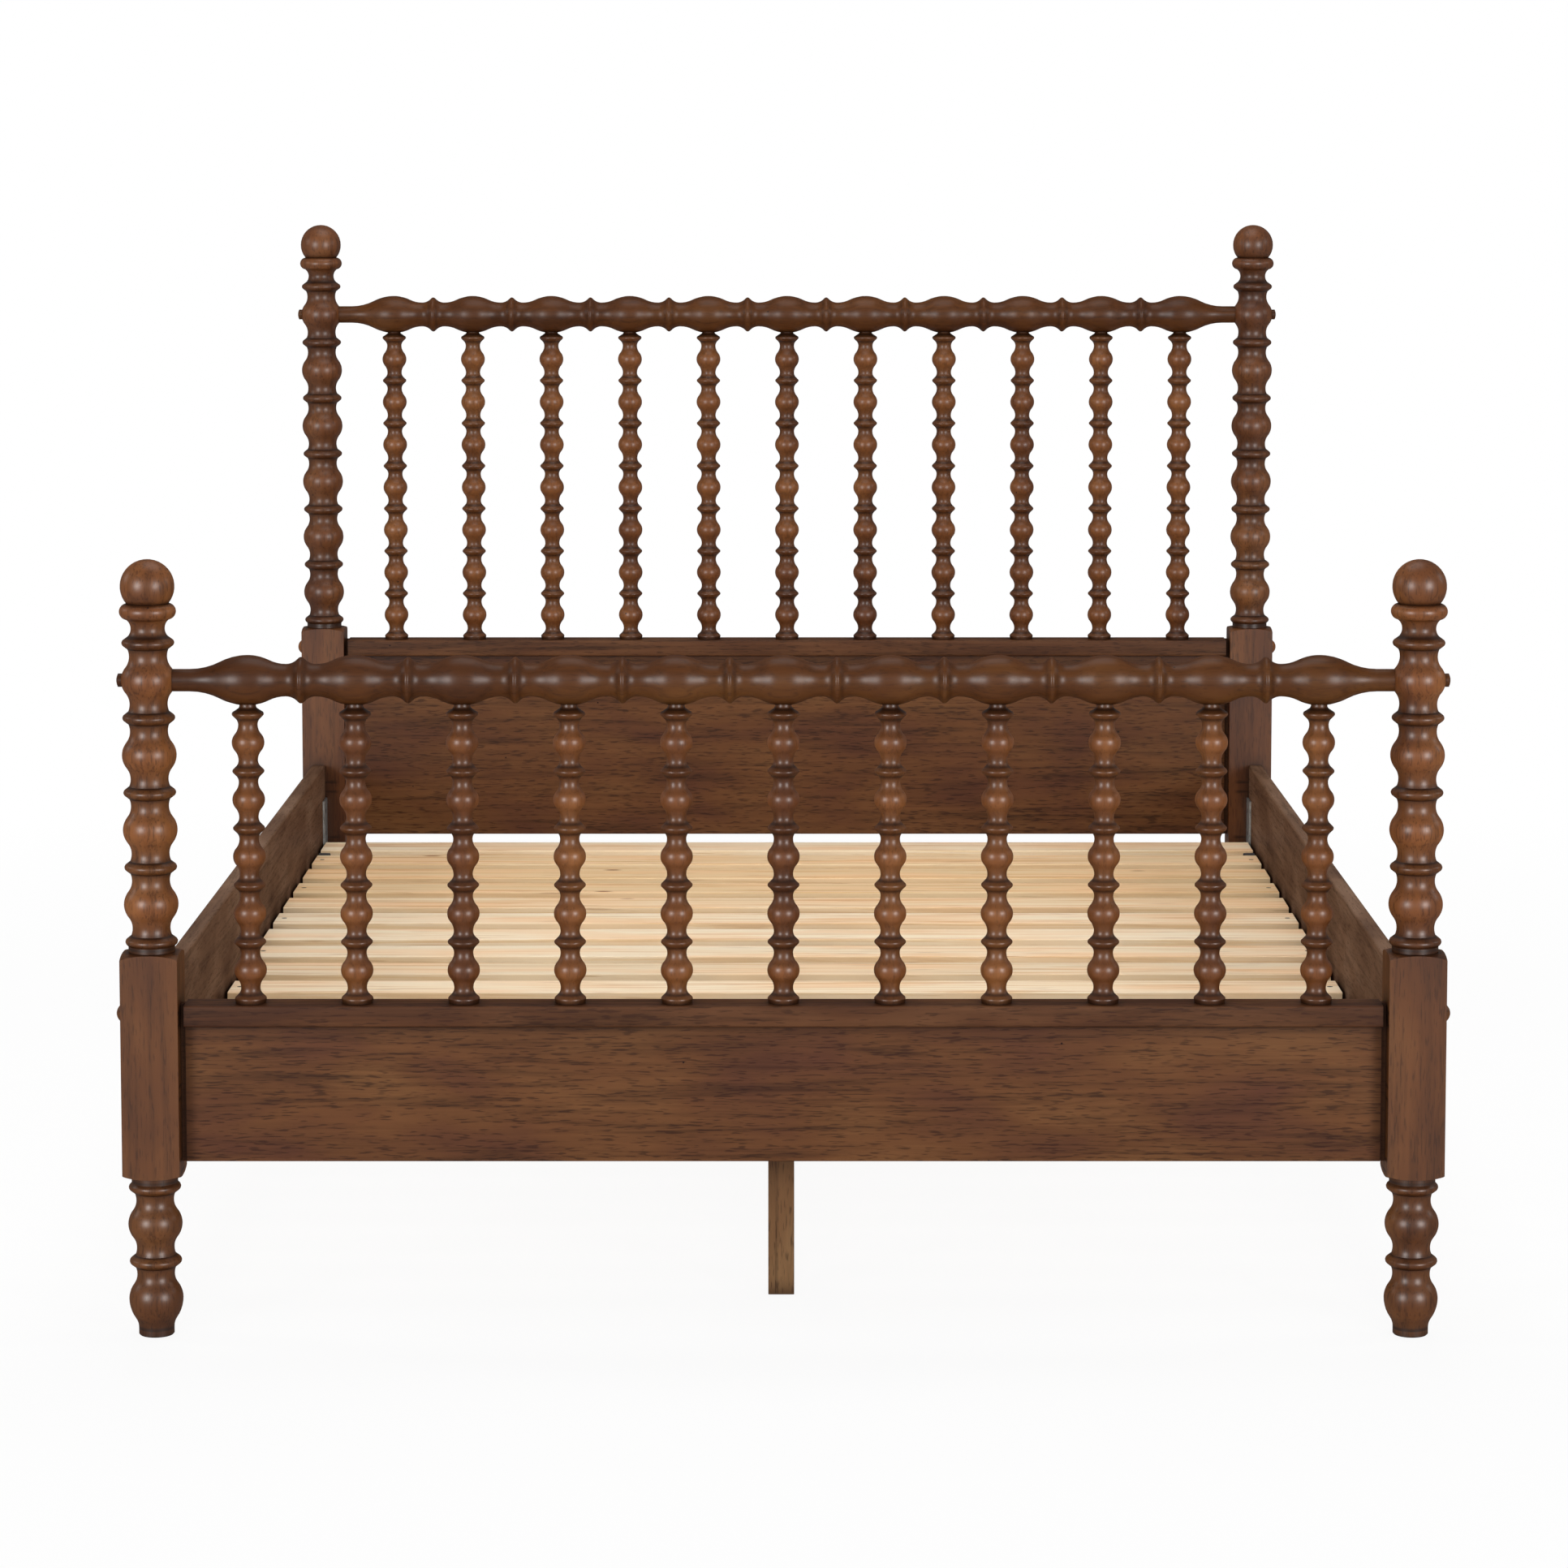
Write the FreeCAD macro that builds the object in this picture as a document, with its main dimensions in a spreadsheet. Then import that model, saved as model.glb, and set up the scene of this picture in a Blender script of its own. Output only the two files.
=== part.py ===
import FreeCAD, Part
import math
import os

import Sketcher

Vector = FreeCAD.Vector

# A queen-size spindle bed. The origin is on the floor at the middle of the bed, +X is to the right for
# someone who stands at the foot, +Y is towards the head and +Z is up. All sizes are in millimetres.

doc = FreeCAD.newDocument("spindle_bed")


# ---------------------------------------------------------------- driving dimensions

class Size:
    """A length that is known twice: as a number, and as the expression of the sheet that gives it."""

    def __init__(self, number, text):
        self.number = number
        self.text = text

    def __add__(self, other):
        other = as_size(other)
        return Size(self.number + other.number, f"({self.text} + {other.text})")

    def __sub__(self, other):
        other = as_size(other)
        return Size(self.number - other.number, f"({self.text} - {other.text})")

    def __mul__(self, other):
        other = as_size(other)
        return Size(self.number * other.number, f"({self.text} * {other.text})")

    def __truediv__(self, other):
        other = as_size(other)
        return Size(self.number / other.number, f"({self.text} / {other.text})")

    def __neg__(self):
        return Size(-self.number, f"(0 - {self.text})")


def as_size(value):
    return value if isinstance(value, Size) else Size(float(value), f"({value})")


DIMENSIONS = {
    # the four posts
    "post_spacing_across": 1545.0,      # between post axes, across the bed
    "post_spacing_along": 2090.0,       # between post axes, from foot to head
    "post_square": 70.0,                # side of the square block
    "post_ring_radius": 31.9,
    "post_ring_tip": 4.6,               # rounding of a ring's edge
    "post_ring_foot": 7.8,              # from a ring's crest to the foot of its flank
    "post_neck_radius": 22.95,
    "post_neck_rise": 16.6,             # from a ring's crest to the neck beside it
    "post_cove": 22.0,                  # hollow on both sides of a neck
    "post_bead_radius": 33.1,
    "head_first_ring": 1217.6,          # height of the top ring of a headboard post
    "head_pitch": 92.5,
    "head_beads": 6,
    "foot_first_ring": 857.0,           # height of the top ring of a footboard post
    "foot_pitch": 91.8,
    "foot_beads": 4,
    # the finial, measured from the top ring
    "finial_neck_rise": 17.4,
    "finial_neck_radius": 20.6,
    "finial_cove": 14.0,
    "collar_rise": 38.3,
    "collar_radius": 34.4,
    "collar_round": 9.8,
    "ball_rise": 68.9,
    "ball_radius": 33.0,
    # the square block and the plain shanks above and below it
    "block_drop": 12.2,                 # from the lowest ring to the top of the block
    "block_bottom": 199.0,
    "shank_radius": 28.3,
    "shank_foot": 5.6,
    "pommel_radius": 40.0,              # lathe rounding of the block's two ends
    "pommel_reach": 52.0,
    # the turned foot
    "leg_ring": 185.0,
    "leg_pitch": 92.4,
    "ankle_bead": 45.5,
    "ankle_height": 9.0,
    "ankle_radius": 21.7,
    "ankle_ease": 1.5,
    # turned top rails
    "rail_pitch": 130.4,                # one bulb to the next, and one spindle to the next
    "rail_ring_radius": 28.3,
    "rail_ring_tip": 4.0,
    "rail_ring_foot": 6.2,
    "rail_neck_radius": 19.8,
    "rail_neck_rise": 18.5,
    "rail_ring_cove": 20.0,
    "rail_bulb_cove": 46.0,
    "rail_bulb_radius": 30.7,
    "rail_end_bulge": 72.0,
    "rail_end_taper": 70.0,             # from the last bulb's crest to the thin end
    "rail_end_radius": 13.7,
    "rail_shoulder": 26.0,              # of the tenon, from the post's axis
    "rail_tenon_radius": 8.2,
    "rail_tenon_reach": 38.8,           # past the post's axis
    "rail_tenon_crown": 2.0,
    # spindles
    "spindle_ring_radius": 19.4,
    "spindle_ring_tip": 3.0,
    "spindle_ring_foot": 6.3,
    "spindle_neck_radius": 11.8,
    "spindle_neck_rise": 13.3,
    "spindle_ring_cove": 11.0,
    "spindle_bead_cove": 18.0,
    "spindle_bead_radius": 19.8,
    "spindle_base_radius": 18.4,
    "spindle_base_lift": 5.0,           # from the cap rail to the crest of the base ring
    "head_spindle_drop": 38.6,          # from the top rail's axis to the spindle's top ring
    "foot_spindle_drop": 41.2,
    "spindle_top_radius": 10.0,
    "spindle_top_cove": 5.0,
    "spindle_top_rise": 10.5,
    "spindle_top_tenon": 13.0,          # end of the top tenon, below the rail's axis
    "spindle_foot_tenon_radius": 8.0,
    "spindle_foot_tenon": 16.0,
    # cap rails and panels
    "cap_depth": 50.0,
    "cap_height": 26.5,
    "cap_ease": 3.0,
    "cap_groove": 8.0,
    "head_cap_top": 630.0,
    "foot_cap_top": 414.0,
    "head_panel_bottom": 302.0,
    "foot_panel_bottom": 218.0,
    "panel_thickness": 20.0,
    "panel_ease": 1.5,
    "post_gap": 6.0,                    # shadow gap between a post and the cap rail and panel
    "tongue_thickness": 12.0,
    "tongue_length": 22.0,              # let into the post
    "fit": 0.2,                         # room around a tenon or tongue in its hole
    # side rails, cleats and slats
    "rail_inner_face": 770.0,           # from the middle of the bed
    "rail_thickness": 22.0,
    "rail_top": 422.0,
    "rail_bottom": 219.0,
    "rail_ease": 3.0,
    "cleat_width": 25.0,
    "cleat_height": 28.0,
    "cleat_end_gap": 12.0,
    "slat_top": 297.0,
    "slat_thickness": 18.0,
    "slat_width": 90.0,
    "slat_end_gap": 4.0,
    "slat_head_gap": 32.0,              # from the headboard post's face to the first slat
    "slat_pitch": 139.0,
    "slat_ease": 2.0,
    "slat_screw_inset": 12.0,
    "strap_width": 17.0,
    "strap_thickness": 1.2,
    "strap_hump": 13.5,                 # slack of the strap between the first two slats
    # centre beam and legs
    "beam_width": 26.0,
    "beam_height": 60.0,
    "beam_end_gap": 30.0,
    "leg_square": 33.0,
    "leg_lap": 45.0,                    # height of the leg's cheek beside the beam
    "leg_ease": 2.0,
    "leg_offset": 3.5,                  # from the beam's middle, so that one cheek of it is left
    "leg_from_post": 208.0,             # axis of the outer legs, from the post's axis
    # steel rail fittings
    "plate_height": 84.0,
    "plate_thickness": 3.0,
    "plate_top": 367.0,
    "bracket_leaf": 46.0,
    "bracket_end_leaf": 21.0,
    "hook_drop": 8.0,                   # of the hook's tooth, behind the plate
    "hook_height": 18.0,                # above the notch that sits on the plate
    "hook_reach": 14.0,
    "hook_thickness": 3.0,
    "hook_slot": 28.0,
    "hook_slot_width": 4.0,
    "hook_inset": 11.0,                 # from the rail's inner face to the hooks
    "hook_low": 300.0,                  # height of the lower notch
    "hook_spacing": 35.0,
    # bolts, buttons and screws
    "bolt_radius": 4.0,
    "bolt_length": 92.0,
    "bolt_head_radius": 6.5,
    "bolt_head_height": 6.0,
    "bolt_recess": 16.0,
    "bolt_recess_radius": 7.2,
    "button_radius": 12.4,
    "button_rise": 9.0,
    "button_stem_radius": 7.0,
    "button_stem": 8.0,
    "screw_radius": 2.0,
    "screw_head_radius": 4.0,
    "screw_length": 32.0,
    "screw_point": 4.0,
    "short_screw_length": 18.0,
    "cleat_screw_pitch": 425.0,
}

sheet = doc.addObject("Spreadsheet::Sheet", "dims")
for row, (alias, number) in enumerate(DIMENSIONS.items(), start=1):
    sheet.set(f"A{row}", alias.replace("_", " "))
    sheet.set(f"B{row}", str(number))
    sheet.setAlias(f"B{row}", alias)
doc.recompute()


class Dimensions:
    """Every driving dimension by name, as a Size."""

    def __getattr__(self, alias):
        return Size(DIMENSIONS[alias], f"dims.{alias}")


dim = Dimensions()


# ---------------------------------------------------------------- sketches and outlines

def origin_feature(body, role):
    return next(f for f in body.Origin.OriginFeatures if f.Role == role)


def new_sketch(body, name, role="XZ_Plane", offset=None):
    """An empty sketch on one of the body's own origin planes, or parallel to it."""
    sketch = body.newObject("Sketcher::SketchObject", name)
    sketch.AttachmentSupport = [(origin_feature(body, role), "")]
    sketch.MapMode = "FlatFace"
    if offset is not None:
        sketch.setExpression("AttachmentOffset.Base.z", offset.text)
    return sketch


class Outline:
    """A closed line drawn edge by edge; the first coordinate is across, the second is up.

    Each edge starts at the end of the one before it. An end that a later edge settles is only
    roughly placed when it is drawn, and the constraints bring it to its place.
    """

    AXIS = -2       # the sketch's vertical axis

    def __init__(self, sketch):
        self.sketch = sketch
        self.first = None
        self.last = None
        self.pen = None

    def _join(self, index, begins, ends, smooth):
        if self.last is None:
            self.first = (index, begins)
        else:
            kind = "Tangent" if smooth else "Coincident"
            self.sketch.addConstraint(Sketcher.Constraint(kind, *self.last, index, begins))
        self.last = (index, ends)

    def measure(self, kind, size, index, *point):
        """Bind a distance from the sketch's origin, or a radius, to the sheet."""
        if kind == "Radius":
            constraint = Sketcher.Constraint(kind, index, size.number)
        else:
            constraint = Sketcher.Constraint(kind, -1, 1, index, *point, size.number)
        place = self.sketch.addConstraint(constraint)
        self.sketch.setExpression(f"Constraints[{place}]", size.text)

    def start(self, across, up):
        self.pen = (across.number, up.number)

    def line(self, across, up, smooth=False):
        """A straight edge to about this point, which a later edge settles."""
        a, b = self.pen
        segment = Part.LineSegment(Vector(a, b, 0), Vector(across.number, up.number, 0))
        index = self.sketch.addGeometry(segment, False)
        self._join(index, 1, 2, smooth)
        self.pen = (across.number, up.number)
        return index

    def line_to(self, across, up):
        """A straight edge to exactly this point."""
        index = self.line(across, up)
        self.measure("DistanceX", across, index, 2)
        self.measure("DistanceY", up, index, 2)
        return index

    def out_from_axis(self, across, up):
        """The first edge, level from the axis outwards; it ends where the next edge begins."""
        self.start(as_size(0), up)
        index = self.line(across, up)
        self.sketch.addConstraint(Sketcher.Constraint("PointOnObject", index, 1, self.AXIS))
        self.measure("DistanceY", up, index, 1)
        self.sketch.addConstraint(Sketcher.Constraint("Horizontal", index))
        return index

    def back_to_axis(self):
        """The last level edge, and the closing edge down the axis."""
        index = self.line(as_size(0), as_size(self.pen[1]))
        self.sketch.addConstraint(Sketcher.Constraint("Horizontal", index))
        self.sketch.addConstraint(Sketcher.Constraint("PointOnObject", index, 2, self.AXIS))
        self.close()

    def arc(self, centre, radius, end, hollow=False, smooth=False):
        """An arc from the pen to about this end, both about a centre of (across, up)."""
        middle = Vector(centre[0].number, centre[1].number, 0)
        begin_angle = math.atan2(self.pen[1] - middle.y, self.pen[0] - middle.x)
        end_angle = math.atan2(end[1].number - middle.y, end[0].number - middle.x)
        circle = Part.Circle(middle, Vector(0, 0, 1), radius.number)
        if hollow:
            index = self.sketch.addGeometry(Part.ArcOfCircle(circle, end_angle, begin_angle), False)
            self._join(index, 2, 1, smooth)
        else:
            index = self.sketch.addGeometry(Part.ArcOfCircle(circle, begin_angle, end_angle), False)
            self._join(index, 1, 2, smooth)
        self.pen = (end[0].number, end[1].number)
        return index

    def close(self):
        first_geometry, first_point = self.first
        target = self.sketch.getPoint(first_geometry, first_point)
        segment = Part.LineSegment(Vector(*self.pen, 0), Vector(target.x, target.y, 0))
        index = self.sketch.addGeometry(segment, False)
        self.sketch.addConstraint(Sketcher.Constraint("Coincident", *self.last, index, 1))
        self.sketch.addConstraint(Sketcher.Constraint("Coincident", index, 2, *self.first))


class Turning:
    """The sizes of one lathe pattern: V-shaped ring, hollow neck and bead, again and again."""

    def __init__(self, member, bead, ring_cove, bead_cove):
        self.ring = getattr(dim, f"{member}_ring_radius")
        self.tip = getattr(dim, f"{member}_ring_tip")
        self.foot = getattr(dim, f"{member}_ring_foot")
        self.neck = getattr(dim, f"{member}_neck_radius")
        self.neck_rise = getattr(dim, f"{member}_neck_rise")
        self.ring_cove = ring_cove
        self.bead_cove = bead_cove
        self.bead = bead


POST = Turning("post", dim.post_bead_radius, dim.post_cove, dim.post_cove)
RAIL = Turning("rail", dim.rail_bulb_radius, dim.rail_ring_cove, dim.rail_bulb_cove)
SPINDLE = Turning("spindle", dim.spindle_bead_radius, dim.spindle_ring_cove, dim.spindle_bead_cove)


def ring_half(outline, turning, ring, rising, foot_rise=None):
    """Half of a ring, from its crest up along its flank, or from the flank's foot up to the crest."""
    centre = (turning.ring - turning.tip, ring)
    foot_rise = turning.foot if foot_rise is None else foot_rise
    # where the flank leaves the rounded tip, nearly enough for a first drawing
    slope = math.radians(55)
    side = 1 if rising else -1
    leave = (as_size(centre[0].number + turning.tip.number * math.cos(slope)),
             as_size(ring.number + side * turning.tip.number * math.sin(slope)))
    hollow_rise = turning.neck_rise.number - turning.foot.number
    foot_radius = turning.neck.number + hollow_rise ** 2 / 2 / turning.ring_cove.number
    if rising:
        tip = outline.arc(centre, turning.tip, leave)
        foot = ring + foot_rise
        flank = outline.line(as_size(foot_radius), foot, smooth=True)
        outline.measure("DistanceY", foot, flank, 2)
    else:
        foot = ring - foot_rise
        flank = outline.line(*leave)
        outline.measure("DistanceY", foot, flank, 1)
        tip = outline.arc(centre, turning.tip, (turning.ring, ring), smooth=True)
        outline.measure("DistanceY", ring, tip, 2)
    outline.measure("DistanceX", centre[0], tip, 3)
    outline.measure("DistanceY", centre[1], tip, 3)
    outline.measure("Radius", turning.tip, tip)


def meeting_of(turning, neck_radius, neck, crest):
    """Where the hollow of a neck runs smoothly into the bead that has its crest at this height.

    Gives the point across and up, and the radius of the bead's arc.
    """
    reach = abs(crest.number - neck.number)
    cove = turning.bead_cove.number
    rise = turning.bead.number - neck_radius.number
    angle = 2 * math.atan(rise / reach)
    way = 1 if crest.number > neck.number else -1
    return (as_size(neck_radius.number + cove * (1 - math.cos(angle))),
            as_size(neck.number + way * cove * math.sin(angle)),
            as_size(reach / math.sin(angle) - cove))


def hollow(outline, neck_radius, cove, neck, end, smooth=False):
    """One arc of the hollow about a neck, with its centre level with the neck."""
    index = outline.arc((neck_radius + cove, neck), cove, end, hollow=True, smooth=smooth)
    outline.measure("DistanceX", neck_radius + cove, index, 3)
    outline.measure("DistanceY", neck, index, 3)
    return index


def neck_to_bead(outline, turning, neck_radius, neck, crest):
    """From a neck up to the crest of the bead above it."""
    *meeting, bead_radius = meeting_of(turning, neck_radius, neck, crest)
    hollow(outline, neck_radius, turning.bead_cove, neck, meeting)
    bead = outline.arc((turning.bead - bead_radius, crest), bead_radius, (turning.bead, crest),
                       smooth=True)
    outline.measure("DistanceY", crest, bead, 3)
    outline.measure("DistanceX", turning.bead, bead, 2)
    outline.measure("DistanceY", crest, bead, 2)


def ring_to_bead(outline, turning, ring, crest):
    """From a ring's crest up to the crest of the bead above it."""
    ring_half(outline, turning, ring, rising=True)
    neck = ring + turning.neck_rise
    lower = hollow(outline, turning.neck, turning.ring_cove, neck, (turning.neck, neck))
    outline.measure("Radius", turning.ring_cove, lower)
    outline.measure("DistanceY", neck, lower, 1)
    neck_to_bead(outline, turning, turning.neck, neck, crest)


def bead_to_ring(outline, turning, crest, ring):
    """From a bead's crest up to the crest of the ring above it."""
    neck = ring - turning.neck_rise
    *meeting, bead_radius = meeting_of(turning, turning.neck, neck, crest)
    bead = outline.arc((turning.bead - bead_radius, crest), bead_radius, meeting)
    outline.measure("DistanceY", crest, bead, 3)
    lower = hollow(outline, turning.neck, turning.bead_cove, neck, (turning.neck, neck), smooth=True)
    outline.measure("Radius", turning.bead_cove, lower)
    outline.measure("DistanceY", neck, lower, 1)
    foot = ring - turning.foot
    hollow_rise = turning.neck_rise.number - turning.foot.number
    foot_radius = turning.neck.number + hollow_rise ** 2 / 2 / turning.ring_cove.number
    hollow(outline, turning.neck, turning.ring_cove, neck, (as_size(foot_radius), foot))
    ring_half(outline, turning, ring, rising=False)


def revolve(body, name, draw, cut=False):
    """Turn an outline about the body's upright axis, adding it or cutting it away."""
    sketch = new_sketch(body, f"{name}_outline")
    draw(Outline(sketch))
    kind = "PartDesign::Groove" if cut else "PartDesign::Revolution"
    feature = body.newObject(kind, name)
    feature.Profile = sketch
    feature.ReferenceAxis = (sketch, ["V_Axis"])
    feature.Angle = 360
    sketch.Visibility = False
    return feature


def turned_beads(body, name, turning, first_ring, pitch, count):
    """A row of equal beads between rings: one is drawn and turned, then repeated along the axis."""
    def draw(outline):
        outline.out_from_axis(turning.ring, first_ring)
        ring_to_bead(outline, turning, first_ring, first_ring + pitch / 2)
        bead_to_ring(outline, turning, first_ring + pitch / 2, first_ring + pitch)
        outline.back_to_axis()

    one = revolve(body, name, draw)
    if count == 1:
        return one
    row = body.newObject("PartDesign::LinearPattern", f"{name}_row")
    row.Originals = [one]
    row.Direction = (origin_feature(body, "Z_Axis"), [""])
    row.setExpression("Length", (pitch * (count - 1)).text)
    row.Occurrences = count
    body.Tip = row
    return row

def polygon(sketch, points):
    """A closed outline of straight edges with every corner bound to the sheet."""
    outline = Outline(sketch)
    points = [(as_size(across), as_size(up)) for across, up in points]
    outline.start(*points[0])
    edge = outline.line_to(*points[1])
    outline.measure("DistanceX", points[0][0], edge, 1)
    outline.measure("DistanceY", points[0][1], edge, 1)
    for point in points[2:]:
        outline.line_to(*point)
    outline.close()


def rectangle(sketch, left, bottom, right, top):
    polygon(sketch, [(left, bottom), (right, bottom), (right, top), (left, top)])


def circle(sketch, across, up, radius):
    centre = Vector(as_size(across).number, as_size(up).number, 0)
    index = sketch.addGeometry(Part.Circle(centre, Vector(0, 0, 1), radius.number), False)
    bind = [("DistanceX", -1, 1, index, 3, as_size(across)), ("DistanceY", -1, 1, index, 3, as_size(up)),
            ("Radius", index, radius)]
    for *constraint, size in bind:
        place = sketch.addConstraint(Sketcher.Constraint(*constraint, size.number))
        sketch.setExpression(f"Constraints[{place}]", size.text)


# ---------------------------------------------------------------- solids

def new_body(label, x=None, y=None, z=None):
    """A body for one piece, named after its node and placed from the sheet."""
    body = doc.addObject("PartDesign::Body", label)
    body.Label = label
    for axis, size in (("x", x), ("y", y), ("z", z)):
        if size is not None:
            body.setExpression(f"Placement.Base.{axis}", size.text)
    return body


def extrude(body, name, sketch, length, cut=False, both_ways=False):
    """Pad or pocket a sketch; a pocket goes against the sketch's normal."""
    feature = body.newObject("PartDesign::Pocket" if cut else "PartDesign::Pad", name)
    feature.Profile = sketch
    feature.setExpression("Length", length.text)
    if both_ways:
        feature.Midplane = True
    sketch.Visibility = False
    return feature


def block(body, name, role, box, length, offset=None, cut=False, both_ways=False):
    """A rectangle (left, bottom, right, top) on an origin plane, padded or pocketed."""
    sketch = new_sketch(body, f"{name}_outline", role, offset)
    rectangle(sketch, *box)
    return extrude(body, name, sketch, length, cut, both_ways)


def ease_edges(body, name, radius, axis, length):
    """Round every edge of the body's last solid that runs straight along an axis for this length."""
    doc.recompute()
    base = body.Tip
    names = []
    for place, edge in enumerate(base.Shape.Edges, start=1):
        ends = [vertex.Point for vertex in edge.Vertexes]
        if len(ends) != 2:
            continue
        span = ends[1] - ends[0]
        along = abs(getattr(span, axis))
        if abs(along - length.number) < 0.01 and abs(span.Length - along) < 0.01:
            names.append(f"Edge{place}")
    fillet = body.newObject("PartDesign::Fillet", name)
    fillet.Base = (base, names)
    fillet.setExpression("Radius", radius.text)
    return fillet


def bore(body, name, points, at, axis, cut=True):
    """Turn a closed outline about a line through a point of the body, along one of its axes.

    The outline's points are (distance along the axis, distance from it).
    """
    at = [as_size(value) for value in at]
    if axis == "y":
        sketch = new_sketch(body, f"{name}_outline", "YZ_Plane", at[0])
        shift = (at[1], at[2])
    else:
        sketch = new_sketch(body, f"{name}_outline", "XZ_Plane", -at[1])
        shift = (at[0], at[2])
    sketch.setExpression("AttachmentOffset.Base.x", shift[0].text)
    sketch.setExpression("AttachmentOffset.Base.y", shift[1].text)
    upright = axis == "z"
    polygon(sketch, [(out, along) if upright else (along, out) for along, out in points])
    feature = body.newObject("PartDesign::Groove" if cut else "PartDesign::Revolution", name)
    feature.Profile = sketch
    feature.ReferenceAxis = (sketch, ["V_Axis" if upright else "H_Axis"])
    feature.Angle = 360
    sketch.Visibility = False
    return feature


def repeat(body, name, original, axis, pitch, count):
    """Repeat a feature at a signed pitch along one of the body's axes."""
    row = body.newObject("PartDesign::LinearPattern", name)
    row.Originals = [original]
    row.Direction = (origin_feature(body, f"{axis.upper()}_Axis"), [""])
    row.Reversed = pitch.number < 0
    length = (pitch if pitch.number > 0 else -pitch) * (count - 1)
    row.setExpression("Length", length.text)
    row.Occurrences = count
    body.Tip = row
    return row


def mirror_feature(body, name, original, role):
    mirrored = body.newObject("PartDesign::Mirrored", name)
    mirrored.Originals = [original]
    mirrored.MirrorPlane = (origin_feature(body, role), [""])
    body.Tip = mirrored
    return mirrored


def mirror_piece(label, source, normal):
    """The same piece on the other side of the bed's middle plane with this normal."""
    mirrored = doc.addObject("Part::Mirroring", label)
    mirrored.Label = label
    mirrored.Source = source
    mirrored.Base = Vector(0, 0, 0)
    mirrored.Normal = normal
    return mirrored


def group_pieces(label, pieces):
    """One node for a group of fasteners or fittings that are all alike."""
    group = doc.addObject("Part::Compound", label)
    group.Label = label
    group.Links = pieces
    return group


ACROSS = Vector(1, 0, 0)
ALONG = Vector(0, 1, 0)


def four_corners(label, master):
    """A fitting of the left headboard corner and its mirrored copies at the other three."""
    right = mirror_piece(f"{label}_head_right", master, ACROSS)
    foot_left = mirror_piece(f"{label}_foot_left", master, ALONG)
    foot_right = mirror_piece(f"{label}_foot_right", foot_left, ACROSS)
    return group_pieces(label, [master, right, foot_left, foot_right])


def screw_outline(length, way):
    """A countersunk screw, from the top of its head to its point, or the hole that it cuts."""
    head = dim.screw_head_radius
    shank = dim.screw_radius
    points = [(as_size(0), as_size(0)), (as_size(0), head), (head - shank, shank),
              (length - dim.screw_point, shank), (length, as_size(0))]
    return [(along if way > 0 else -along, out) for along, out in points]


pieces = {}     # node name: document object


# ---------------------------------------------------------------- shared places

half_across = dim.post_spacing_across / 2
half_along = dim.post_spacing_along / 2
half_post = dim.post_square / 2
head_rail_height = dim.head_first_ring - dim.head_pitch / 2
foot_rail_height = dim.foot_first_ring - dim.foot_pitch / 2
cap_half_length = half_across - half_post - dim.post_gap
tongue_half_length = cap_half_length + dim.post_gap + dim.tongue_length
post_face = half_along - half_post                  # of the posts' faces that the side rails meet
rail_end = post_face - dim.plate_thickness          # a bracket's end leaf fills the rest
slat_bottom = dim.slat_top - dim.slat_thickness
cleat_top = slat_bottom - dim.strap_thickness
cleat_bottom = cleat_top - dim.cleat_height
slat_half_length = dim.rail_inner_face - dim.slat_end_gap
first_slat = post_face - dim.slat_head_gap - dim.slat_width / 2
slat_screw_place = slat_half_length - dim.slat_screw_inset
SLATS = 14
SCREWED_SLATS = range(2, SLATS + 1, 2)
SPINDLES = 11
first_screwed_slat = first_slat - dim.slat_pitch
cleat_screw_height = (cleat_top + cleat_bottom) / 2
CLEAT_SCREWS = 5
last_cleat_screw = dim.cleat_screw_pitch * (CLEAT_SCREWS - 1) / 2
leg_places = {"foot": dim.leg_from_post - half_along, "middle": as_size(0),
              "head": half_along - dim.leg_from_post}
leg_screws = [(as_size(-8), dim.leg_lap * 0.3), (as_size(8), dim.leg_lap * 0.72)]    # along, up
bracket_screw_place = post_face - dim.bracket_leaf / 2
bracket_screw_heights = [dim.plate_top - 19, dim.plate_top - 56]
plate_screw_heights = [dim.plate_top - 76, dim.plate_top - 35.5]
plate_screw_place = -dim.rail_inner_face - 3
hook_place = -dim.rail_inner_face - dim.hook_inset
hook_heights = [dim.hook_low, dim.hook_low + dim.hook_spacing]


# ---------------------------------------------------------------- posts

def draw_finial(outline, ring):
    """From the top ring's crest: a neck, a collar and a ball with its top on the axis."""
    ring_half(outline, POST, ring, rising=True)
    neck = ring + dim.finial_neck_rise
    cove = dim.finial_cove
    collar = (dim.collar_radius - dim.collar_round, ring + dim.collar_rise)
    ball = ring + dim.ball_rise
    quirk = (dim.collar_radius - dim.collar_round * 0.83, neck + cove * 0.8)
    index = hollow(outline, dim.finial_neck_radius, cove, neck, quirk)
    outline.measure("Radius", cove, index)
    saddle = (dim.collar_radius - dim.collar_round * 0.9, collar[1] + dim.collar_round)
    index = outline.arc(collar, dim.collar_round, saddle)
    outline.measure("DistanceX", collar[0], index, 3)
    outline.measure("DistanceY", collar[1], index, 3)
    outline.measure("Radius", dim.collar_round, index)
    index = outline.arc((as_size(0), ball), dim.ball_radius, (as_size(0), ball + dim.ball_radius))
    outline.sketch.addConstraint(Sketcher.Constraint("PointOnObject", index, 3, Outline.AXIS))
    outline.measure("DistanceY", ball, index, 3)
    outline.measure("Radius", dim.ball_radius, index)
    outline.sketch.addConstraint(Sketcher.Constraint("PointOnObject", index, 2, Outline.AXIS))


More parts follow.
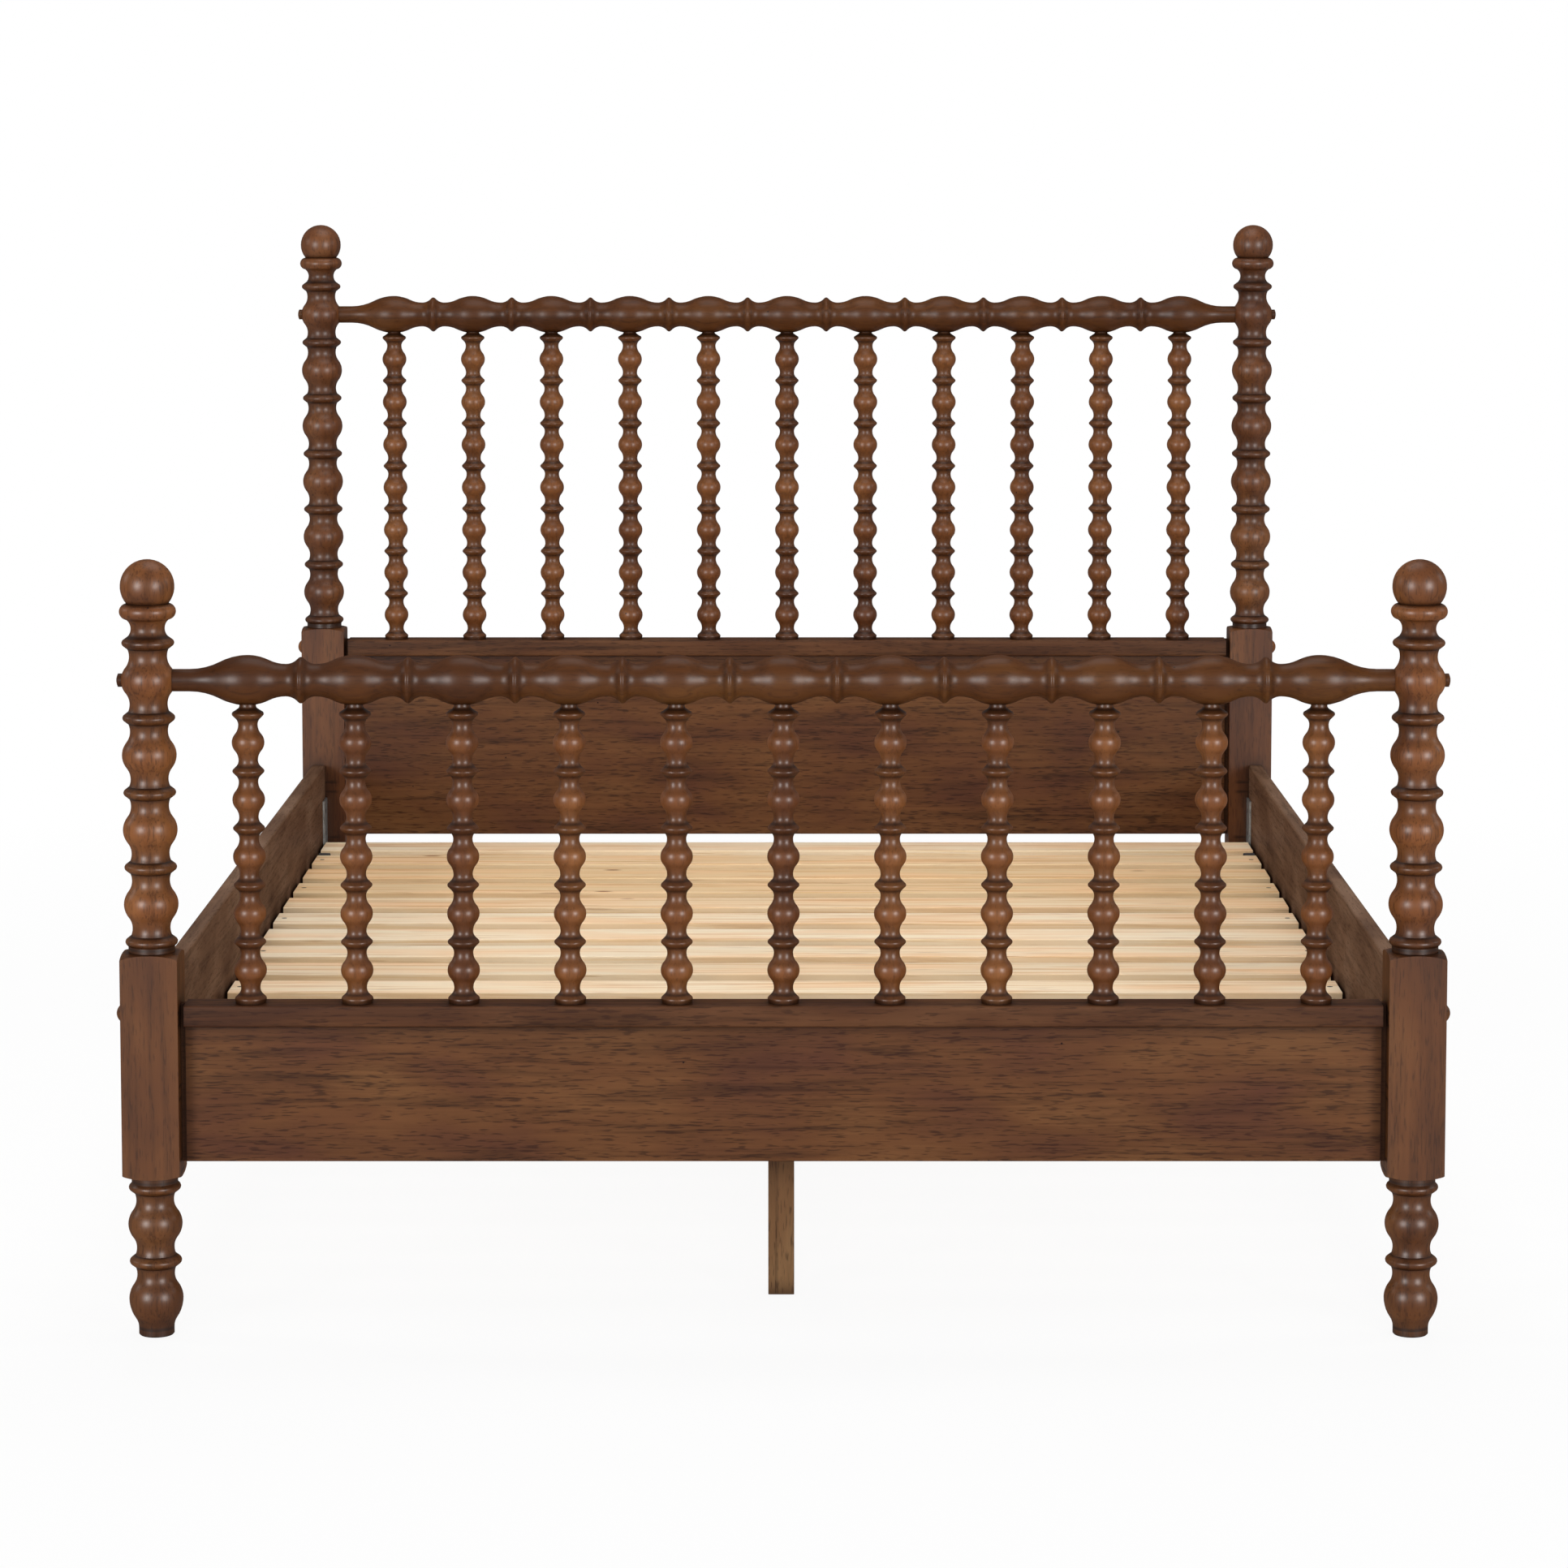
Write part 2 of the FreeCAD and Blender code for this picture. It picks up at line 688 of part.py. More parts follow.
def shape_post(label, head):
    """The left post of the headboard or of the footboard, round its own axis."""
    first_ring = dim.head_first_ring if head else dim.foot_first_ring
    pitch = dim.head_pitch if head else dim.foot_pitch
    beads = (dim.head_beads if head else dim.foot_beads).number
    lowest_ring = first_ring - pitch * beads
    block_top = lowest_ring - dim.block_drop
    toward_bed = -1 if head else 1
    body = new_body(label, -half_across, half_along if head else -half_along)

    block(body, "square_block", "XY_Plane", (-half_post, -half_post, half_post, half_post),
          block_top - dim.block_bottom, dim.block_bottom)

    def pommel(end, way):
        """The lathe's rounding of the block's corners where it meets a shank."""
        def draw(outline):
            inner = dim.shank_radius
            outer = dim.pommel_reach
            centre = end - dim.pommel_radius * way
            drop = math.sqrt(dim.pommel_radius.number ** 2 - (outer - inner).number ** 2)
            corner = (outer, as_size(centre.number + way * drop))
            outline.start(inner, end + way)
            edge = outline.line(inner, end)
            outline.measure("DistanceX", inner, edge, 1)
            outline.measure("DistanceY", end + way, edge, 1)
            outline.measure("DistanceX", inner, edge, 2)
            outline.measure("DistanceY", end, edge, 2)
            middle = (inner, centre)
            edge = outline.arc(middle, dim.pommel_radius, corner, hollow=way > 0)
            outline.measure("DistanceX", inner, edge, 3)
            outline.measure("DistanceY", centre, edge, 3)
            edge = outline.line(outer, end + way)
            outline.measure("DistanceX", outer, edge, 1)
            outline.measure("DistanceX", outer, edge, 2)
            outline.measure("DistanceY", end + way, edge, 2)
            outline.close()
        return draw

    revolve(body, "upper_pommel", pommel(block_top, 1), cut=True)
    revolve(body, "lower_pommel", pommel(dim.block_bottom, -1), cut=True)

    def upper_shank(outline):
        outline.out_from_axis(dim.shank_radius, block_top)
        foot = lowest_ring - dim.shank_foot
        edge = outline.line(dim.shank_radius, foot)
        outline.sketch.addConstraint(Sketcher.Constraint("Vertical", edge))
        outline.measure("DistanceX", dim.shank_radius, edge, 2)
        ring_half(outline, POST, lowest_ring, rising=False, foot_rise=dim.shank_foot)
        outline.back_to_axis()

    def lower_shank(outline):
        outline.out_from_axis(dim.post_ring_radius, dim.leg_ring)
        ring_half(outline, POST, dim.leg_ring, rising=True, foot_rise=dim.shank_foot)
        edge = outline.line(dim.shank_radius, dim.block_bottom)
        outline.sketch.addConstraint(Sketcher.Constraint("Vertical", edge))
        outline.measure("DistanceX", dim.shank_radius, edge, 2)
        outline.measure("DistanceY", dim.block_bottom, edge, 2)
        outline.back_to_axis()

    def foot_end(outline):
        outline.out_from_axis(dim.ankle_radius - dim.ankle_ease, as_size(0))
        ease = dim.ankle_ease
        edge = outline.line(dim.ankle_radius, ease)
        outline.measure("DistanceX", dim.ankle_radius - ease, edge, 1)
        outline.measure("DistanceX", dim.ankle_radius, edge, 2)
        outline.measure("DistanceY", ease, edge, 2)
        edge = outline.line_to(dim.ankle_radius, dim.ankle_height)
        neck_to_bead(outline, POST, dim.ankle_radius, dim.ankle_height, dim.ankle_bead)
        bead_to_ring(outline, POST, dim.ankle_bead, dim.leg_ring - dim.leg_pitch)
        outline.back_to_axis()

    def finial(outline):
        outline.out_from_axis(dim.post_ring_radius, first_ring)
        draw_finial(outline, first_ring)
        outline.close()

    revolve(body, "upper_shank", upper_shank)
    turned_beads(body, "beads", POST, lowest_ring, pitch, int(beads))
    revolve(body, "finial", finial)
    revolve(body, "lower_shank", lower_shank)
    turned_beads(body, "foot_bead", POST, dim.leg_ring - dim.leg_pitch, dim.leg_pitch, 1)
    revolve(body, "foot_end", foot_end)

    # mortise for the tongues of the panel and the cap rail
    panel_bottom = dim.head_panel_bottom if head else dim.foot_panel_bottom
    cap_top = dim.head_cap_top if head else dim.foot_cap_top
    half_mortise = dim.tongue_thickness / 2 + dim.fit
    mortise = (-half_mortise, panel_bottom - dim.fit, half_mortise, cap_top + dim.fit)
    block(body, "mortise", "YZ_Plane", mortise, dim.tongue_length + 3, half_post, cut=True)

    # socket and through hole of the turned top rail
    height = head_rail_height if head else foot_rail_height
    hole = dim.rail_tenon_radius + dim.fit
    socket = dim.rail_end_radius + dim.fit
    bore(body, "rail_socket",
         [(-half_post - 1, 0), (-half_post - 1, hole), (dim.rail_shoulder, hole),
          (dim.rail_shoulder, socket), (half_post + 1, socket), (half_post + 1, 0)],
         (0, 0, height), "x")

    # hole of the bolt that draws the cap rail to the post, with the button's recess outside
    recess = dim.bolt_recess - half_post
    bore(body, "bolt_hole",
         [(-half_post - 1, 0), (-half_post - 1, dim.bolt_recess_radius),
          (recess, dim.bolt_recess_radius), (recess, dim.bolt_radius + dim.fit),
          (half_post / 2, dim.bolt_radius + dim.fit), (half_post / 2, 0)],
         (0, 0, cap_top - dim.cap_height / 2), "x")

    # recess of the hook plate, and behind it the slots for the bracket's hooks
    face = half_post * toward_bed
    deep = dim.plate_thickness
    behind = dim.hook_reach + 1
    left = half_across - dim.rail_inner_face - dim.rail_thickness + 1
    right = half_across - dim.rail_inner_face
    # a sketch on the XZ plane faces -Y, so a pocket from the foot post's +Y face starts inside it
    start = -face if head else -(half_post - deep)
    block(body, "plate_recess", "XZ_Plane", (left, dim.plate_top - dim.plate_height, right, dim.plate_top),
          deep, start, cut=True)
    middle = half_across + hook_place
    half_slot = dim.hook_slot_width / 2
    for place, notch in enumerate(hook_heights, start=1):
        start = -face if head else -(half_post - behind)
        block(body, f"hook_slot_{place}", "XZ_Plane",
              (middle - half_slot, notch - dim.hook_drop - 1, middle + half_slot, notch + dim.hook_slot),
              behind, start, cut=True)
    for place, up in enumerate(plate_screw_heights, start=1):
        bore(body, f"plate_screw_hole_{place}", screw_outline(dim.short_screw_length, -toward_bed),
             (half_across + plate_screw_place, face, up), "y")
    return body


for end, at_head in (("headboard", True), ("footboard", False)):
    left_label = f"{end}_post_left"
    right_label = f"{end}_post_right"
    pieces[left_label] = shape_post(left_label, at_head)
    pieces[right_label] = mirror_piece(right_label, pieces[left_label], ACROSS)


# ---------------------------------------------------------------- turned top rails

def shape_top_rail(label, height, along_bed):
    """A turned rail round its own Z axis, which its placement lays across the bed."""
    body = new_body(label, None, along_bed, height)
    body.setExpression("Placement.Rotation.Axis.x", "0")
    body.setExpression("Placement.Rotation.Axis.y", "1")
    body.setExpression("Placement.Rotation.Axis.z", "0")
    body.setExpression("Placement.Rotation.Angle", "90")
    pitch = dim.rail_pitch
    last_ring = pitch * ((SPINDLES - 2) / 2)
    last_bulb = pitch * ((SPINDLES - 1) / 2)
    turned_beads(body, "bulbs", RAIL, -last_ring, pitch, SPINDLES - 2)

    def end_piece(outline):
        outline.out_from_axis(RAIL.ring, last_ring)
        ring_to_bead(outline, RAIL, last_ring, last_bulb)
        bulge = dim.rail_end_bulge
        thin = last_bulb + dim.rail_end_taper
        inward = dim.rail_end_radius.number - (RAIL.bead - bulge).number
        reach = dim.rail_end_taper.number
        taper = (inward ** 2 + reach ** 2 - bulge.number ** 2) / 2 / (bulge.number - inward)
        share = bulge.number / (bulge.number + taper)
        meeting = (as_size((RAIL.bead - bulge).number + share * (inward + taper)),
                   as_size(last_bulb.number + share * reach))
        edge = outline.arc((RAIL.bead - bulge, last_bulb), bulge, meeting)
        outline.measure("DistanceY", last_bulb, edge, 3)
        outline.measure("Radius", bulge, edge)
        edge = outline.arc((as_size(dim.rail_end_radius.number + taper), thin), as_size(taper),
                           (dim.rail_end_radius, thin), hollow=True, smooth=True)
        outline.measure("DistanceY", thin, edge, 3)
        shoulder = half_across - dim.rail_shoulder
        tenon = dim.rail_tenon_radius
        crown_foot = half_across + dim.rail_tenon_reach - dim.rail_tenon_crown
        edge = outline.line_to(dim.rail_end_radius, shoulder)
        outline.measure("DistanceX", dim.rail_end_radius, edge, 1)
        outline.measure("DistanceY", thin, edge, 1)
        outline.line_to(tenon, shoulder)
        outline.line_to(tenon, crown_foot)
        crown = (dim.rail_tenon_crown * dim.rail_tenon_crown + tenon * tenon) / (dim.rail_tenon_crown * 2)
        tip = crown_foot + dim.rail_tenon_crown
        edge = outline.arc((as_size(0), tip - crown), crown, (as_size(0), tip))
        outline.sketch.addConstraint(Sketcher.Constraint("PointOnObject", edge, 3, Outline.AXIS))
        outline.sketch.addConstraint(Sketcher.Constraint("PointOnObject", edge, 2, Outline.AXIS))
        outline.measure("DistanceY", tip, edge, 2)
        outline.close()

    end = revolve(body, "end", end_piece)
    mirror_feature(body, "other_end", end, "XY_Plane")

    # the body's +X side is the rail's underside
    sketch = new_sketch(body, "spindle_holes_outline", "YZ_Plane", dim.rail_bulb_radius + 1)
    for place in range(SPINDLES):
        circle(sketch, 0, pitch * (place - (SPINDLES - 1) / 2), dim.spindle_top_radius + dim.fit)
    extrude(body, "spindle_holes", sketch, dim.rail_bulb_radius + 1 - dim.spindle_top_tenon + 1, cut=True)
    return body


pieces["headboard_top_rail"] = shape_top_rail("headboard_top_rail", head_rail_height, half_along)
pieces["footboard_top_rail"] = shape_top_rail("footboard_top_rail", foot_rail_height, -half_along)


# ---------------------------------------------------------------- spindles

def shape_spindle(label, height, top_drop, beads):
    """The pattern of a row of spindles; its height is from the cap rail to the top rail's axis."""
    body = new_body(label)
    base = dim.spindle_base_lift
    top_ring = height - top_drop
    pitch = (top_ring - base) / beads

    def base_end(outline):
        radius = dim.spindle_base_radius
        tenon = dim.spindle_foot_tenon_radius
        outline.start(as_size(0), -dim.spindle_foot_tenon)
        edge = outline.line_to(tenon, -dim.spindle_foot_tenon)
        outline.measure("DistanceX", as_size(0), edge, 1)
        outline.measure("DistanceY", -dim.spindle_foot_tenon, edge, 1)
        outline.line_to(tenon, as_size(0))
        edge = outline.line(radius, as_size(0))
        outline.measure("DistanceX", radius, edge, 2)
        ring_half(outline, SPINDLE, base, rising=False, foot_rise=base)
        outline.back_to_axis()

    def top_end(outline):
        outline.out_from_axis(SPINDLE.ring, top_ring)
        ring_half(outline, SPINDLE, top_ring, rising=True)
        radius = dim.spindle_top_radius
        up = top_ring + dim.spindle_top_rise
        edge = hollow(outline, radius, dim.spindle_top_cove, up, (radius, up))
        outline.measure("Radius", dim.spindle_top_cove, edge)
        outline.measure("DistanceY", up, edge, 1)
        top = height - dim.spindle_top_tenon
        outline.line_to(radius, top)
        outline.line_to(as_size(0), top)
        outline.close()

    revolve(body, "base", base_end)
    turned_beads(body, "beads", SPINDLE, base, pitch, beads)
    revolve(body, "top", top_end)
    return body


def spindle_row(end, height, top_drop, beads, along_bed, cap_top):
    pattern = shape_spindle(f"{end}_spindle_pattern", height, top_drop, beads)
    for place in range(1, SPINDLES + 1):
        label = f"{end}_spindle_{place:02d}"
        across = dim.rail_pitch * (place - (SPINDLES + 1) / 2)
        body = new_body(label, across, along_bed, cap_top)
        body.BaseFeature = pattern
        pieces[label] = body


spindle_row("headboard", head_rail_height - dim.head_cap_top, dim.head_spindle_drop, 7,
            half_along, dim.head_cap_top)
spindle_row("footboard", foot_rail_height - dim.foot_cap_top, dim.foot_spindle_drop, 5,
            -half_along, dim.foot_cap_top)


# ---------------------------------------------------------------- cap rails and panels

def shape_cap_rail(label, along_bed, cap_top):
    """The flat rail that carries the spindles; its top face is at the body's Z = 0."""
    body = new_body(label, None, along_bed, cap_top)
    half_depth = dim.cap_depth / 2
    half_tongue = dim.tongue_thickness / 2
    half_groove = dim.panel_thickness / 2 + dim.fit
    low = -dim.cap_height
    block(body, "bar", "YZ_Plane", (-half_depth, low, half_depth, 0), cap_half_length * 2, both_ways=True)
    ease_edges(body, "long_edges", dim.cap_ease, "x", cap_half_length * 2)
    block(body, "tongues", "YZ_Plane", (-half_tongue, low, half_tongue, 0), tongue_half_length * 2,
          both_ways=True)
    block(body, "panel_groove", "YZ_Plane", (-half_groove, low - 1, half_groove, low + dim.cap_groove),
          tongue_half_length * 2 + 2, cut=True, both_ways=True)
    sketch = new_sketch(body, "mortises_outline", "XY_Plane")
    for place in range(SPINDLES):
        across = dim.rail_pitch * (place - (SPINDLES - 1) / 2)
        circle(sketch, across, 0, dim.spindle_foot_tenon_radius + dim.fit)
    extrude(body, "mortises", sketch, dim.spindle_foot_tenon + 0.5, cut=True)
    bolt_tip = half_across + half_post - dim.bolt_recess - dim.bolt_length
    hole = bore(body, "bolt_hole",
                [(0, 0), (0, dim.bolt_radius), (tongue_half_length + 1 - bolt_tip, dim.bolt_radius),
                 (tongue_half_length + 1 - bolt_tip, 0)], (bolt_tip, 0, low / 2), "x")
    mirror_feature(body, "other_bolt_hole", hole, "YZ_Plane")
    return body


def shape_panel(label, along_bed, bottom, cap_top):
    """The plain panel under a cap rail; its lower edge is at the body's Z = 0."""
    body = new_body(label, None, along_bed, bottom)
    half_thickness = dim.panel_thickness / 2
    half_tongue = dim.tongue_thickness / 2
    top = cap_top - dim.cap_height + dim.cap_groove - dim.fit - bottom
    block(body, "board", "YZ_Plane", (-half_thickness, 0, half_thickness, top), cap_half_length * 2,
          both_ways=True)
    ease_edges(body, "long_edges", dim.panel_ease, "x", cap_half_length * 2)
    block(body, "tongues", "YZ_Plane", (-half_tongue, 0, half_tongue, top), tongue_half_length * 2,
          both_ways=True)
    return body


pieces["headboard_cap_rail"] = shape_cap_rail("headboard_cap_rail", half_along, dim.head_cap_top)
pieces["footboard_cap_rail"] = shape_cap_rail("footboard_cap_rail", -half_along, dim.foot_cap_top)
pieces["headboard_panel"] = shape_panel("headboard_panel", half_along, dim.head_panel_bottom,
                                        dim.head_cap_top)
pieces["footboard_panel"] = shape_panel("footboard_panel", -half_along, dim.foot_panel_bottom,
                                        dim.foot_cap_top)


# ---------------------------------------------------------------- side rails and cleats

rail = new_body("side_rail_left", -dim.rail_inner_face, None, dim.rail_bottom)
block(rail, "board", "XZ_Plane", (-dim.rail_thickness, 0, 0, dim.rail_top - dim.rail_bottom), rail_end * 2,
      both_ways=True)
ease_edges(rail, "long_edges", dim.rail_ease, "y", rail_end * 2)
hole = bore(rail, "cleat_screw_hole", screw_outline(dim.screw_length, -1),
            (dim.cleat_width, -last_cleat_screw, cleat_screw_height - dim.rail_bottom), "x")
repeat(rail, "cleat_screw_holes", hole, "y", dim.cleat_screw_pitch, CLEAT_SCREWS)
for number, up in enumerate(bracket_screw_heights, start=1):
    hole = bore(rail, f"bracket_screw_hole_{number}", screw_outline(dim.short_screw_length, -1),
                (dim.plate_thickness, bracket_screw_place, up - dim.rail_bottom), "x")
    mirror_feature(rail, f"bracket_screw_hole_{number}_foot", hole, "XZ_Plane")
pieces["side_rail_left"] = rail
pieces["side_rail_right"] = mirror_piece("side_rail_right", rail, ACROSS)

cleat = new_body("slat_cleat_left", -dim.rail_inner_face, None, cleat_bottom)
block(cleat, "bar", "XZ_Plane", (0, 0, dim.cleat_width, dim.cleat_height),
      (post_face - dim.cleat_end_gap) * 2, both_ways=True)
hole = bore(cleat, "rail_screw_hole", screw_outline(dim.screw_length, -1),
            (dim.cleat_width, -last_cleat_screw, dim.cleat_height / 2), "x")
repeat(cleat, "rail_screw_holes", hole, "y", dim.cleat_screw_pitch, CLEAT_SCREWS)
hole = bore(cleat, "slat_screw_hole", screw_outline(dim.screw_length, -1),
            (dim.rail_inner_face - slat_screw_place, first_screwed_slat, dim.slat_top - cleat_bottom), "z")
repeat(cleat, "slat_screw_holes", hole, "y", -dim.slat_pitch * 2, len(SCREWED_SLATS))
pieces["slat_cleat_left"] = cleat
pieces["slat_cleat_right"] = mirror_piece("slat_cleat_right", cleat, ACROSS)


# ---------------------------------------------------------------- slats

def shape_slat(label, screwed):
    """The pattern of a slat, with its top face at the body's Z = 0."""
    body = new_body(label)
    half_width = dim.slat_width / 2
    block(body, "board", "YZ_Plane", (-half_width, -dim.slat_thickness, half_width, 0),
          slat_half_length * 2, both_ways=True)
    ease_edges(body, "long_edges", dim.slat_ease, "x", slat_half_length * 2)
    if screwed:
        hole_outline = screw_outline(dim.screw_length, -1)
        bore(body, "middle_screw_hole", hole_outline, (0, 0, 0), "z")
        hole = bore(body, "end_screw_hole", hole_outline, (slat_screw_place, 0, 0), "z")
        mirror_feature(body, "other_end_screw_hole", hole, "YZ_Plane")
    return body


plain_slat = shape_slat("plain_slat_pattern", False)
screwed_slat = shape_slat("screwed_slat_pattern", True)
for number in range(1, SLATS + 1):
    name = f"slat_{number:02d}"
    slat = new_body(name, None, first_slat - dim.slat_pitch * (number - 1), dim.slat_top)
    slat.BaseFeature = screwed_slat if number in SCREWED_SLATS else plain_slat
    pieces[name] = slat


# ---------------------------------------------------------------- slat webbing

strap = new_body("slat_strap_left", -dim.rail_inner_face + dim.slat_end_gap + dim.strap_width / 2, None,
                 cleat_top)
strap_sketch = new_sketch(strap, "strap_outline", "YZ_Plane")
strap_line = Outline(strap_sketch)
thick = dim.strap_thickness
strap_back = first_slat + dim.slat_width / 2
strap_front = first_slat - dim.slat_pitch * (SLATS - 1) - dim.slat_width / 2
hump_middle = first_slat - dim.slat_pitch / 2
half_hump = (dim.slat_pitch - dim.slat_width) / 2 - 2
outer = (half_hump * half_hump + dim.strap_hump * dim.strap_hump) / (dim.strap_hump * 2)
hump_centre = thick + dim.strap_hump - outer
inner = outer - thick
half_inner = math.sqrt(inner.number ** 2 - hump_centre.number ** 2)
strap_line.start(strap_front, as_size(0))
edge = strap_line.line(as_size(hump_middle.number - half_inner), as_size(0))
strap_line.measure("DistanceX", strap_front, edge, 1)
strap_line.measure("DistanceY", as_size(0), edge, 1)
strap_line.measure("DistanceY", as_size(0), edge, 2)
edge = strap_line.arc((hump_middle, hump_centre), inner,
                      (as_size(hump_middle.number + half_inner), as_size(0)), hollow=True)
strap_line.measure("DistanceX", hump_middle, edge, 3)
strap_line.measure("DistanceY", hump_centre, edge, 3)
strap_line.measure("Radius", inner, edge)
edge = strap_line.line_to(strap_back, as_size(0))
strap_line.measure("DistanceY", as_size(0), edge, 1)
strap_line.line_to(strap_back, thick)
edge = strap_line.line(hump_middle + half_hump, thick)
strap_line.measure("DistanceX", hump_middle + half_hump, edge, 2)
strap_line.measure("DistanceY", thick, edge, 2)
edge = strap_line.arc((hump_middle, hump_centre), outer, (hump_middle - half_hump, thick))
strap_line.measure("DistanceX", hump_middle, edge, 3)
strap_line.measure("DistanceY", hump_centre, edge, 3)
strap_line.measure("DistanceY", thick, edge, 2)
strap_line.line_to(strap_front, thick)
strap_line.close()
extrude(strap, "strap", strap_sketch, dim.strap_width, both_ways=True)
hole = bore(strap, "slat_screw_hole",
            [(-1, 0), (-1, dim.screw_radius), (thick + 1, dim.screw_radius), (thick + 1, 0)],
            (dim.rail_inner_face - dim.slat_end_gap - dim.strap_width / 2 - slat_screw_place,
             first_screwed_slat, 0), "z")
repeat(strap, "slat_screw_holes", hole, "y", -dim.slat_pitch * 2, len(SCREWED_SLATS))
pieces["slat_webbing"] = group_pieces("slat_webbing",
                                      [strap, mirror_piece("slat_strap_right", strap, ACROSS)])


# ---------------------------------------------------------------- centre beam and its legs

beam = new_body("centre_beam", None, None, slat_bottom - dim.beam_height)
half_beam = dim.beam_width / 2
block(beam, "bar", "XZ_Plane", (-half_beam, 0, half_beam, dim.beam_height),
      (post_face - dim.beam_end_gap) * 2, both_ways=True)
hole = bore(beam, "slat_screw_hole", screw_outline(dim.screw_length, -1),
            (0, first_screwed_slat, dim.slat_top - slat_bottom + dim.beam_height), "z")
repeat(beam, "slat_screw_holes", hole, "y", -dim.slat_pitch * 2, len(SCREWED_SLATS))
leg_cheek = dim.leg_square / 2 + dim.leg_offset
for leg_name, place in leg_places.items():
    for number, (along, up) in enumerate(leg_screws, start=1):
        bore(beam, f"{leg_name}_leg_screw_hole_{number}", screw_outline(dim.short_screw_length, 1),
             (-leg_cheek, place + along, up), "x")
pieces["centre_beam"] = beam

leg_pattern = new_body("centre_leg_pattern")
half_leg = dim.leg_square / 2
leg_height = slat_bottom - dim.beam_height + dim.leg_lap
block(leg_pattern, "post", "XY_Plane",
      (-half_leg - dim.leg_offset, -half_leg, half_leg - dim.leg_offset, half_leg), leg_height)
ease_edges(leg_pattern, "upright_edges", dim.leg_ease, "z", leg_height)
block(leg_pattern, "lap", "XZ_Plane",
      (-half_beam, leg_height - dim.leg_lap, half_leg + 1, leg_height + 1), dim.leg_square + 2,
      cut=True, both_ways=True)
for number, (along, up) in enumerate(leg_screws, start=1):
    bore(leg_pattern, f"beam_screw_hole_{number}", screw_outline(dim.short_screw_length, 1),
         (-leg_cheek, along, slat_bottom - dim.beam_height + up), "x")
for leg_name, place in leg_places.items():
    leg = new_body(f"centre_leg_{leg_name}", None, place)
    leg.BaseFeature = leg_pattern
    pieces[f"centre_leg_{leg_name}"] = leg


# ---------------------------------------------------------------- steel rail fittings

bracket = new_body("rail_bracket")
inner_face = -dim.rail_inner_face
block(bracket, "rail_leaf", "YZ_Plane",
      (post_face - dim.bracket_leaf, dim.plate_top - dim.plate_height, post_face, dim.plate_top),
      dim.plate_thickness, inner_face)
block(bracket, "end_leaf", "XZ_Plane",
      (inner_face - dim.bracket_end_leaf, dim.plate_top - dim.plate_height, inner_face, dim.plate_top),
      dim.plate_thickness, -post_face)
for number, notch in enumerate(hook_heights, start=1):
    sketch = new_sketch(bracket, f"hook_{number}_outline", "YZ_Plane", hook_place)
    behind_plate = post_face + dim.plate_thickness + dim.fit
    hook_tip = post_face + dim.hook_reach
    polygon(sketch, [(post_face, notch), (behind_plate, notch), (behind_plate, notch - dim.hook_drop),
                     (hook_tip, notch - dim.hook_drop), (hook_tip, notch + dim.hook_height / 2),
                     (post_face, notch + dim.hook_height)])
    extrude(bracket, f"hook_{number}", sketch, dim.hook_thickness, both_ways=True)
for number, up in enumerate(bracket_screw_heights, start=1):
    bore(bracket, f"rail_screw_hole_{number}", screw_outline(dim.short_screw_length, -1),
         (inner_face + dim.plate_thickness, bracket_screw_place, up), "x")
pieces["rail_brackets"] = four_corners("rail_brackets", bracket)

plate = new_body("hook_plate")
block(plate, "leaf", "XZ_Plane",
      (inner_face - dim.rail_thickness + 1, dim.plate_top - dim.plate_height, inner_face, dim.plate_top),
      dim.plate_thickness, -post_face - dim.plate_thickness)
for number, notch in enumerate(hook_heights, start=1):
    half_slot = dim.hook_slot_width / 2
    block(plate, f"hook_slot_{number}", "XZ_Plane",
          (hook_place - half_slot, notch, hook_place + half_slot, notch + dim.hook_slot),
          dim.plate_thickness, -post_face, cut=True)
for number, up in enumerate(plate_screw_heights, start=1):
    bore(plate, f"post_screw_hole_{number}", screw_outline(dim.short_screw_length, 1),
         (plate_screw_place, post_face, up), "y")
pieces["hook_plates"] = four_corners("hook_plates", plate)


# ---------------------------------------------------------------- bolts and buttons

def post_bolt(label, along_bed, cap_top):
    """The bolt of a left post, with its head at the bottom of the recess in the outer face."""
    body = new_body(label)
    seat = dim.bolt_recess - half_across - half_post
    head = seat - dim.bolt_head_height
    tip = seat + dim.bolt_length
    bore(body, "bolt", [(head, 0), (head, dim.bolt_head_radius), (seat, dim.bolt_head_radius),
                        (seat, dim.bolt_radius), (tip, dim.bolt_radius), (tip, 0)],
         (0, along_bed, cap_top - dim.cap_height / 2), "x", cut=False)
    return body


